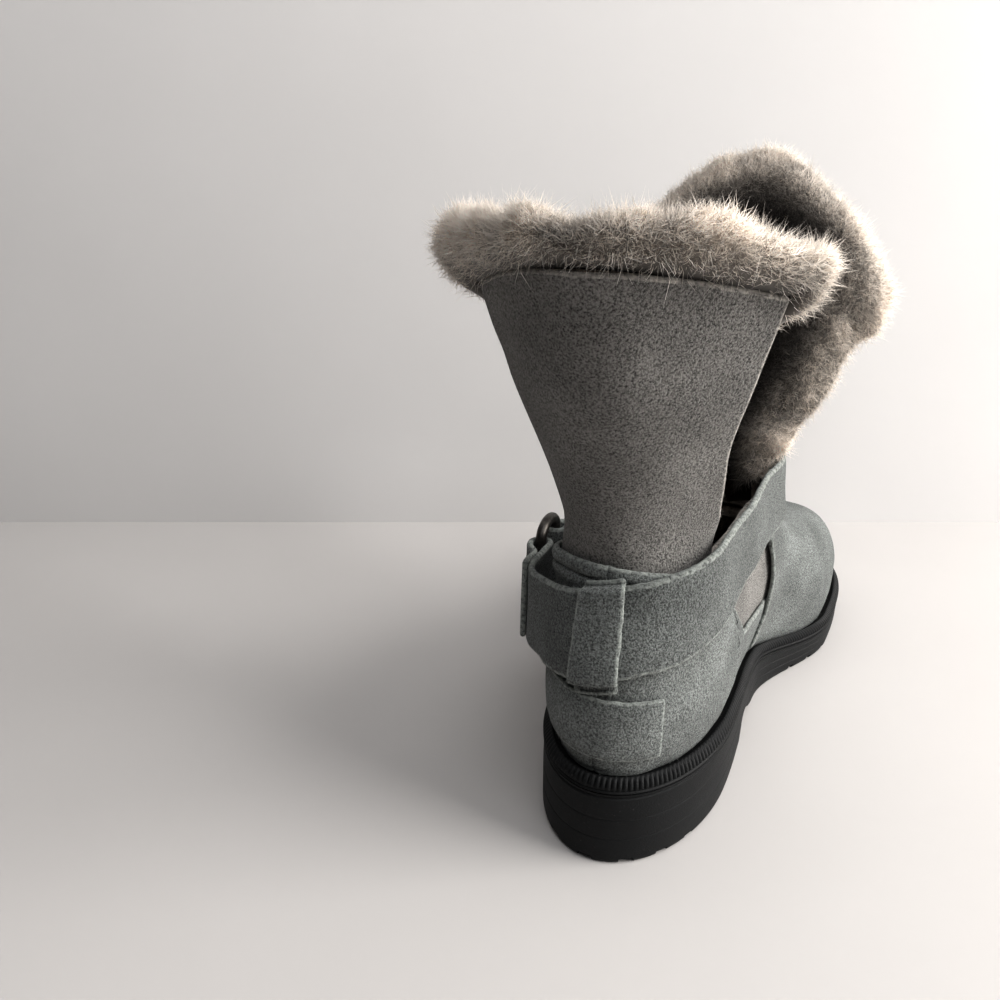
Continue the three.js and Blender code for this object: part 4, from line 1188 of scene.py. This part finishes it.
def wool_body(panel, wool):
    """The mass of the wool: the space between the wool's face and the skin, closed all round."""
    grid = wool["face"]
    count = grid.shape[0] * grid.shape[1]
    faces = grid_faces(*grid.shape[:2])
    rim = border_loops(*grid.shape[:2], False)[0]
    walls = np.stack([rim, np.roll(rim, -1), np.roll(rim, -1) + count, rim + count], -1)
    if panel["inwards"] > 0:
        faces = faces[:, ::-1]
    else:
        walls = walls[:, ::-1]
    # tip and tone are lighter on the raised lumps and darker in the hollows between them: painted shade, on
    # top of random tone.
    values = {
        "tip": (0.22 + 0.04 * wool["lump"]) * wool["open"],
        "tone": 0.15 * wool["lump"] + 0.6 * noise(grid, 2.4, 7),
        "frost": wool["frost"],
    }
    both = {name: np.tile(value.ravel(), 2) for name, value in values.items()}
    points = np.concatenate([grid.reshape(-1, 3), wool["back"].reshape(-1, 3)])
    return part(points, [faces, faces[:, ::-1] + count, walls], **both)


def scattered(grid, weight, count, rng):
    """Random places over a grid's area; the answer reads any field of the grid at those places."""
    corner, right, up, far = grid[:-1, :-1], grid[:-1, 1:], grid[1:, :-1], grid[1:, 1:]
    area = np.linalg.norm(np.cross(far - corner, up - right), axis=-1) * weight[:-1, :-1]
    cell = rng.choice(area.size, count, p=area.ravel() / area.sum())
    row, col = np.divmod(cell, area.shape[1])
    u, v = rng.uniform(size=(2, count, 1))

    def at(field):
        field = field.reshape(*grid.shape[:2], -1)
        low = lerp(field[row, col], field[row, col + 1], u)
        high = lerp(field[row + 1, col], field[row + 1, col + 1], u)
        return np.squeeze(lerp(low, high, v))

    return at


def wool_fuzz(wool, count, rim, seed):
    """Short curly ends of the wool, standing all over its face, or over its rim alone."""
    rng = np.random.default_rng(seed)
    at_rim = smooth(wool["near"], 0.02, 0.3)
    weight = at_rim if rim else 1 - 0.5 * at_rim
    at = scattered(wool["face"], weight * (0.02 + wool["open"] ** 2), count, rng)
    points, way, near, lump, frost = (at(wool[name]) for name in ("face", "way", "near", "lump", "frost"))
    normal = unit(at(wool["normal"]))
    spread = unit(0.6 * normal + 0.6 * way + 0.5 * rng.normal(size=(count, 3)))
    length = lerp(3.4, 5.4, near) * rng.uniform(0.5, 1.3, count)
    roots = points - normal * (0.9 + 0.5 * rng.uniform(size=count))[:, None]
    bend = 0.45 * rng.normal(size=(count, 3)) + np.array([0, 0, -0.08]) - 0.15 * spread
    cell = np.floor(points / 3.8 + 0.6 * noise(points, 4.2, seed)[:, None]).astype(int)
    made = fibres(
        roots, spread, length, bend, bpy.context.scene.boot_sizes.fibre * 1000, 2, rng,
        clump=cell @ np.array([1, 1000, 1000000]), gather=0.42, crimp=1.0, frost=frost, facing=normal,
    )
    each = len(made["points"]) // count
    values = made["values"]
    values["tip"] = 0.4 + 0.6 * values["tip"]
    # Lighter on the wool's raised lumps and darker in its hollows: painted shade, on top of random tufts of
    # tone.
    tufts = np.clip(0.3 * lump + 0.8 * noise(points, 7, seed + 5), -1, 1)
    values["tone"] = 0.5 * values["tone"] + 0.5 * np.repeat(tufts, each)
    lit = unit(normal + 0.3 * spread + 0.15 * rng.normal(size=(count, 3)))
    return made, np.repeat(lit, each, axis=0)


def make_wool():
    """The wool of the back and front panels."""
    share = 1.0
    for name, panel, inside, rim, seed in (
        ("back", BACK_PANEL, 32000, 58000, 41), ("front", FRONT_PANEL, 46000, 54000, 43),
    ):
        wool = wool_face(panel, seed)
        body = wool_body(panel, wool)
        build(name + "_wool_body", body, pile_wool(), ["shaft"], angle=180)
        for part_name, count, at_rim in (("inside", inside, False), ("rim", rim, True)):
            shape, normals = wool_fuzz(wool, int(count * share), at_rim, seed + at_rim)
            piece = name + "_wool_" + part_name
            build(piece, shape, pile_wool(), ["shaft"], normals=normals, angle=180)


def make_shaft():
    """Tube inside the collar and the two open panels, all skin side out."""
    skin = bpy.context.scene.boot_sizes.skin * 1000
    turns = np.linspace(0, 1, 150, endpoint=False)
    bottom = first_level(turns, TUCK) + 0.12
    top = level_at(turns, 0 * turns + TUBE_TOP_Z)
    v = np.linspace(0, 1, 24)[:, None]
    level = lerp(bottom[None, :], top[None, :], v)
    around = np.broadcast_to(turns, level.shape)
    outer = off_foot(level, around, -(2.15 + skin / 2 + 0.15 * noise(foot_point(level, around), 8, 51)))
    build("tube_skin", leather(outer, skin, closed=True), shaft_skin(), ["shaft"])
    wool_depth = 5.9 + 0.35 * noise(foot_point(level, around), 4, 52)
    inner = off_foot(level, around, -wool_depth)
    build("tube_lining", leather(inner, 2.8, closed=True), pressed_wool(), ["shaft"])
    make_panel_skin("back_panel_skin", BACK_PANEL, 61)
    make_panel_skin("front_panel_skin", FRONT_PANEL, 62)


# ---------------------------------------------------------------- strap, loops, ring and rivets


def strap_z(turn):
    phi = 2 * np.pi * turn
    return 88.9 + 13.2 * np.sin(phi) - 4.5 * np.cos(phi) + 1.6 * np.cos(2 * phi)


BAND_TURNS = np.linspace(0, 1, 241)
BAND_CENTRE = foot_point(level_at(BAND_TURNS, strap_z(BAND_TURNS)), BAND_TURNS)
BAND = travelled(BAND_CENTRE)
BAND_LENGTH = BAND[-1]
RING_AT = -BAND_LENGTH * 0.2


def from_ring(distance):
    """Distance from the ring along the band, the short way round."""
    turns = (np.asarray(distance, float) - RING_AT) / BAND_LENGTH
    return (turns - np.round(turns)) * BAND_LENGTH


def beside_strap(turn, up):
    """A point on the foot at a straight distance up or down from the strap's centre line."""
    centre = level_at(turn, strap_z(turn))
    start = foot_point(centre, turn)
    far = np.where(up > 0, LAST_LEVEL, np.maximum(0, centre - 4))
    reach = lambda level: np.linalg.norm(foot_point(level, turn) - start, axis=-1) < np.abs(up)
    return foot_point(bisect(reach, centre, far), turn)


def on_ankle(distance, up, off):
    """A point that follows the ankle, by distance along the strap, height on it and height off the foot."""
    distance, up, off = np.broadcast_arrays(*(np.asarray(a, float) for a in (distance, up, off)))
    turn = np.interp(np.mod(distance, BAND_LENGTH), BAND, BAND_TURNS)
    away = unit(foot_normal(level_at(turn, strap_z(turn) + up / 2), turn) * (1, 1, 0.3))
    half = 0 * turn + STRAP_WIDTH / 2
    surface = beside_strap(turn, up)
    share = np.clip(up / STRAP_WIDTH + 0.5, 0, 1)[..., None]
    straight = lerp(beside_strap(turn, -half), beside_strap(turn, half), share)
    hollow = np.where(np.abs(up) < half, np.maximum(0, np.sum((straight - surface) * away, -1)), 0)
    slack = RING_SLACK * np.exp(-((from_ring(distance) / 36) ** 2))
    return surface + away * (off + slack + hollow)[..., None]


RING_CENTRE = on_ankle(RING_AT, 0, 0)
RING_ALONG = unit(on_ankle(RING_AT + 9, 0, 0) - on_ankle(RING_AT - 9, 0, 0))
RING_UP = on_ankle(RING_AT, 14, 0) - on_ankle(RING_AT, -14, 0)
RING_UP = unit(RING_UP - RING_ALONG * (RING_UP @ RING_ALONG))
RING_OUT = np.cross(RING_ALONG, RING_UP)
STRAP_THICK = 2.4
STRAP_OFF = STRAP_STAND + STRAP_THICK / 2
RING_OFF = STRAP_STAND + STRAP_THICK + 0.4 + RING_WIRE / 2
FOLD_OFF = 2 * RING_OFF - STRAP_OFF
LAP_OFF = STRAP_OFF + STRAP_THICK + GAP
BAR = RING_WIDTH / 2 - RING_WIRE / 2


def on_band(distance, up, off):
    """A point on the strap: flat beside the ring, and following the ankle further away."""
    distance, up, off = np.broadcast_arrays(*(np.asarray(a, float) for a in (distance, up, off)))
    near = from_ring(distance)
    flat = RING_CENTRE + near[..., None] * RING_ALONG + up[..., None] * RING_UP + off[..., None] * RING_OUT
    return lerp(on_ankle(distance, up, off), flat, 1 - smooth(np.abs(near), 28, 48)[..., None])


def folded_end(way):
    """One end of the strap folded round the ring's bar, from its cut edge to where it leaves the ring."""
    radius = (FOLD_OFF - STRAP_OFF) / 2
    path = [
        (BAR + 22, LAP_OFF), (BAR + 16, LAP_OFF), (BAR + 11, LAP_OFF),
        (BAR + 7.5, lerp(LAP_OFF, FOLD_OFF, 0.5)), (BAR + 3.5, lerp(LAP_OFF, FOLD_OFF, 0.94)),
    ]
    for angle in np.linspace(0, np.pi, 9):
        path.append((BAR - np.sin(angle) * radius, RING_OFF + np.cos(angle) * radius))
    path.append((BAR + 8, STRAP_OFF))
    path = np.array(path)
    return np.column_stack([RING_AT + way * path[:, 0], path[:, 1]])


def make_strap():
    """Ankle strap of two layers of suede with both ends folded round the ring, and torn pale edges."""
    heel_end, instep_end = folded_end(1), folded_end(-1) + (BAND_LENGTH, 0)
    middle = np.linspace(heel_end[-1, 0], instep_end[-1, 0], 44)[1:-1]
    path = np.concatenate([heel_end, np.column_stack([middle, 0 * middle + STRAP_OFF]), instep_end[::-1]])
    at = np.linspace(0, len(path) - 1, (len(path) - 1) * 5 + 1)
    along, off = column(path[:, 0], at), column(path[:, 1], at)
    up = soft_edges(17, 0.5) * STRAP_WIDTH - STRAP_WIDTH / 2
    near = np.exp(-((from_ring(along) / 40) ** 2))
    line = np.stack([along, 0 * along, 0 * along], -1)
    ragged = 0.2 * noise(line, 7, 71) + 0.22 * noise(line, 1.7, 75)
    lower = 0.2 * noise(line, 6, 72) + 0.22 * noise(line, 1.9, 76)
    edge = np.where(up[:, None] > 13, ragged, np.where(up[:, None] < -13, lower, 0))
    grid = on_band(along[None, :], up[:, None] + edge, off[None, :])
    normals = grid_normals(grid)
    flat = np.stack([*np.meshgrid(along, up), 0 * grid[..., 0]], -1)
    wavy = 0.22 * noise(flat, 13, 73) * (1 - near[None, :])
    grid = grid + normals * wavy[..., None]
    sheet = leather(grid, STRAP_THICK - 0.1, edge_width=1.3)
    # The strap's suede is the foot's suede made 0.82 times as dark.
    darker = foot_suede(0.82, "brushed split suede, darker")
    frayed("strap_suede", sheet, 74, 4, 1.1, darker, "strap")


def make_loops():
    """Two belt loops of suede over the strap, each sewn down below it with a small box of stitches."""
    high = STRAP_WIDTH / 2
    thick = 1.6
    low = STRAP_STAND * 0.45 + thick / 2
    over = STRAP_STAND + STRAP_THICK + 2 * GAP + 0.15 + thick / 2
    path = np.array([
        (-LOOP_BELOW, low), (-high - 3.4, low), (-high - 2.2, low + 0.4), (-high - 1.0, over - 0.6),
        (-high + 0.6, over), (-high * 0.5, over), (0, over), (high * 0.5, over), (high - 0.6, over),
        (high + 0.8, over - 0.6), (high + 1.5, low + 0.7), (high + 2.1, low + 0.5), (LOOP_ABOVE, low + 0.6),
    ])
    at = np.linspace(0, len(path) - 1, (len(path) - 1) * 5 + 1)
    up, off = column(path[:, 0], at), column(path[:, 1], at)
    sideways = soft_edges(11, 0.4) * LOOP_WIDTH - LOOP_WIDTH / 2
    for name, node, distance, seed in (
        ("heel_loop", "loop_heel", 0.0, 81), ("instep_loop", "loop_instep", BAND[len(BAND) // 2], 82),
    ):
        ragged = 0.25 * noise(np.stack([up, 0 * up, 0 * up], -1), 3.0, seed)
        grid = on_band(distance + sideways[None, :] + ragged[:, None], up[:, None], off[:, None])
        # The loops' suede is the foot's suede painted 1.2 times lighter: painted light.
        lighter = foot_suede(1.2, "brushed split suede painted lighter")
        frayed(name, leather(grid, thick), seed, 5, 1.0, lighter, node)
        box = np.array([(-4.3, -19.2), (4.3, -19.2), (4.3, -17.0), (-4.3, -17.0), (-4.3, -19.2)])
        rows = []
        for (a0, u0), (a1, u1) in zip(box, box[1:]):
            share = np.linspace(0, 1, 12)
            place = distance + lerp(a0, a1, share), lerp(u0, u1, share)
            run = on_band(*place, low + thick / 2 + 0.05)
            out = on_band(*place, low + thick / 2 + 2.05) - run
            rows.append(stitches(run, unit(out), 1.5, 0.5, 0.28))
        build(name + "_stitches", join(*rows), thread(), [node], angle=180)


def make_hardware():
    """The wire ring and the two domed rivets of the strap's front end."""
    bend = (RING_HEIGHT - RING_WIRE - RING_STRAIGHT) / 2
    track = []
    for way in (1, -1):
        for share in np.linspace(0, 1, 16, endpoint=False):
            track.append((way * BAR, way * RING_STRAIGHT * (share - 0.5)))
        for angle in np.linspace(0, np.pi, 28, endpoint=False):
            track.append((way * BAR * np.cos(angle), way * (RING_STRAIGHT / 2 + bend * np.sin(angle))))
    track = np.array(track)
    path = RING_CENTRE + track[:, :1] * RING_ALONG + track[:, 1:] * RING_UP + RING_OFF * RING_OUT
    ring = tube_along(path, RING_WIRE / 2, 20, closed=True, up=RING_OUT)
    build("oval_ring", ring, dark_pewter(), ["ring"], angle=180)
    profile = np.array([
        (0.01, -0.1), (2.2, -0.1), (2.55, 0.0), (2.62, 0.15), (2.5, 0.34), (2.2, 0.42), (2.0, 0.5),
        (1.7, 0.75), (1.2, 0.98), (0.6, 1.1), (0.01, 1.13),
    ])
    angles = np.linspace(0, 2 * np.pi, 36, endpoint=False)
    base = LAP_OFF + STRAP_THICK / 2 + 0.15
    for name, node, up in (("rivet_cap_upper", "rivet_upper", 7.5), ("rivet_cap_lower", "rivet_lower", -7.5)):
        centre = on_band(RING_AT - BAR - 15, up, base)
        out = unit(on_band(RING_AT - BAR - 15, up, base + 3) - centre)
        along = unit(np.cross(out, RING_UP))
        over = np.cross(out, along)
        ring = np.cos(angles)[None, :, None] * along + np.sin(angles)[None, :, None] * over
        points = centre + profile[:, :1, None] * ring + profile[:, 1:, None] * out
        faces = grid_faces(len(profile), len(angles), True)
        rim = np.arange(len(angles))
        ends = [rim[None, ::-1], (len(profile) - 1) * len(angles) + rim[None, :]]
        build(name, part(points, [faces] + ends), dark_pewter(), [node], angle=50)


# ---------------------------------------------------------------- stage


def aimed(name, data, place, target):
    """Links a lamp or camera at a place, looking at a target."""
    made = bpy.data.objects.new(name, data)
    made.location = place
    made.rotation_euler = (Vector(target) - Vector(place)).to_track_quat("-Z", "Y").to_euler()
    bpy.context.scene.collection.objects.link(made)
    return made


def make_stage():
    """Pale floor and wall, a large soft window light from the right, a weak fill, and the camera."""
    low, high = (Vector(corner) for corner in CAD_BOX)
    middle = (low + high) / 2
    eye = Vector((0.0783, -0.2382, 0.2106))
    look = Vector((-0.460, 0.817, -0.347)).normalized()
    ahead = Vector((look.x, look.y, 0)).normalized()
    right = Vector((ahead.y, -ahead.x, 0))
    to_wall, half_width_m, depth, height = 0.523, 3.0, 4.0, 2.6
    foot = [(eye + ahead * to_wall + right * side).xy for side in (-half_width_m, half_width_m)]
    near = [p - ahead.xy * depth for p in foot]
    on_floor = [(*near[0], 0), (*near[1], 0), (*foot[1], 0), (*foot[0], 0)]
    on_wall = [(*foot[0], 0), (*foot[1], 0), (*foot[1], height), (*foot[0], height)]
    for name, corners, paint in (
        ("floor", on_floor, plain_paint("rolled white floor paint", "#b5b2b0", 0.6)),
        ("wall", on_wall, plain_paint("rolled white wall paint", "#c3c1c0", 0.8)),
    ):
        mesh = bpy.data.meshes.new(name)
        mesh.from_pydata(corners, [], [(0, 1, 2, 3)])
        mesh.materials.append(paint)
        piece = bpy.data.objects.new(name, mesh)
        bpy.context.scene.collection.objects.link(piece)
    for name, width, length, watts, colour, place in (
        ("window", 1.1, 1.2, 58, (1.0, 0.985, 0.96), right * 1.32 - ahead * 0.4 + Vector((0, 0, 0.62))),
        ("overhead", 1.1, 1.1, 14, (0.97, 0.98, 1.0), right * 0.05 - ahead * 0.62 + Vector((0, 0, 1.2))),
    ):
        lamp = bpy.data.lights.new(name, "AREA")
        lamp.shape = "RECTANGLE"
        lamp.size, lamp.size_y = width, length
        lamp.energy = watts
        lamp.color = colour
        aimed(name, lamp, middle + place, middle)
    scene = bpy.context.scene
    scene.world = scene.world or bpy.data.worlds.new("room")
    scene.world.use_nodes = True
    room = scene.world.node_tree.nodes["Background"].inputs
    room["Color"].default_value = (0.93, 0.96, 1.0, 1)
    room["Strength"].default_value = 0.05
    scene.view_settings.view_transform = "Standard"
    scene.view_settings.gamma = 0.81
    camera = bpy.data.cameras.new("camera")
    camera.lens = 28.145
    camera.sensor_width = 36
    scene.camera = aimed("camera", camera, eye, eye + look)


# ---------------------------------------------------------------- the add-on


def size_property(name, description, default):
    return bpy.props.FloatProperty(name=name, description=description, default=default, unit="LENGTH")


def colour_property(name, description, code):
    return bpy.props.FloatVectorProperty(
        name=name, description=description, default=linear(code), size=4, subtype="COLOR", min=0, max=1)


class BootSizes(bpy.types.PropertyGroup):
    suede: size_property("Suede", "Thickness of the foot's suede", 0.0018)
    skin: size_property("Skin", "Thickness of the shaft's skin", 0.0018)
    pile: size_property("Pile", "Length of the standing wool", 0.0124)
    fibre: size_property("Fibre", "Width of one drawn fibre of wool at its root", 0.00027)
    rib_pitch: size_property("Rib pitch", "Distance from one rib of the welt to the next", 0.0019)


class BootColours(bpy.types.PropertyGroup):
    suede: colour_property("Suede", "Foot, strap and loops", "#6f7270")
    suede_raw: colour_property("Raw suede", "Torn edges of the foot's suede", "#a2a6a1")
    skin: colour_property("Skin", "Skin side of the shaft", "#72706d")
    skin_raw: colour_property("Raw skin", "Cut edges of the shaft", "#bdb8b1")
    wool_root: colour_property("Wool root", "Wool at the skin", "#201c19")
    wool_middle: colour_property("Wool middle", "Wool a third of the way up", "#dcd3c9")
    wool_tip: colour_property("Wool tip", "Ends of the wool", "#f3ebe2")
    rubber: colour_property("Rubber", "Sole and welt", "#0f1011")
    metal: colour_property("Metal", "Ring and rivets", "#4a4744")
    thread: colour_property("Thread", "Stitches", "#4c504e")


def operator(label, action):
    """An operator class that builds one piece, or a group of like pieces."""
    def execute(self, context):
        action()
        return {"FINISHED"}
    name = action.__name__.removeprefix("make_")
    body = {"bl_idname": "boot." + name, "bl_label": label, "__doc__": action.__doc__, "execute": execute}
    return type("BOOT_OT_" + name, (bpy.types.Operator,), body)


OPERATORS = [operator(label, action) for label, action in (
    ("Stage", make_stage), ("Outsole", make_outsole), ("Welt", make_welt), ("Insole", make_insole),
    ("Vamp", make_vamp), ("Quarter", make_quarter), ("Lining", make_lining), ("Heel patch", make_heel_patch),
    ("Shaft", make_shaft), ("Wool", make_wool), ("Strap", make_strap), ("Loops", make_loops),
    ("Ring and rivets", make_hardware),
)]


class BOOT_PT_panel(bpy.types.Panel):
    """Sizes, colours and the pieces of the boot."""
    bl_label = "Sheepskin boot"
    bl_idname = "BOOT_PT_panel"
    bl_space_type = "VIEW_3D"
    bl_region_type = "UI"
    bl_category = "Boot"

    def draw(self, context):
        for group in (context.scene.boot_sizes, context.scene.boot_colours):
            for name in group.__annotations__:
                self.layout.prop(group, name)
        for kind in OPERATORS:
            self.layout.operator(kind.bl_idname)


CLASSES = [BootSizes, BootColours, *OPERATORS, BOOT_PT_panel]


def register():
    for kind in CLASSES:
        bpy.utils.register_class(kind)
    bpy.types.Scene.boot_sizes = bpy.props.PointerProperty(type=BootSizes)
    bpy.types.Scene.boot_colours = bpy.props.PointerProperty(type=BootColours)


def unregister():
    del bpy.types.Scene.boot_sizes
    del bpy.types.Scene.boot_colours
    for kind in reversed(CLASSES):
        bpy.utils.unregister_class(kind)


def main():
    register()
    for kind in OPERATORS:
        group, name = kind.bl_idname.split(".")
        getattr(getattr(bpy.ops, group), name)()


if __name__ == "__main__":
    main()
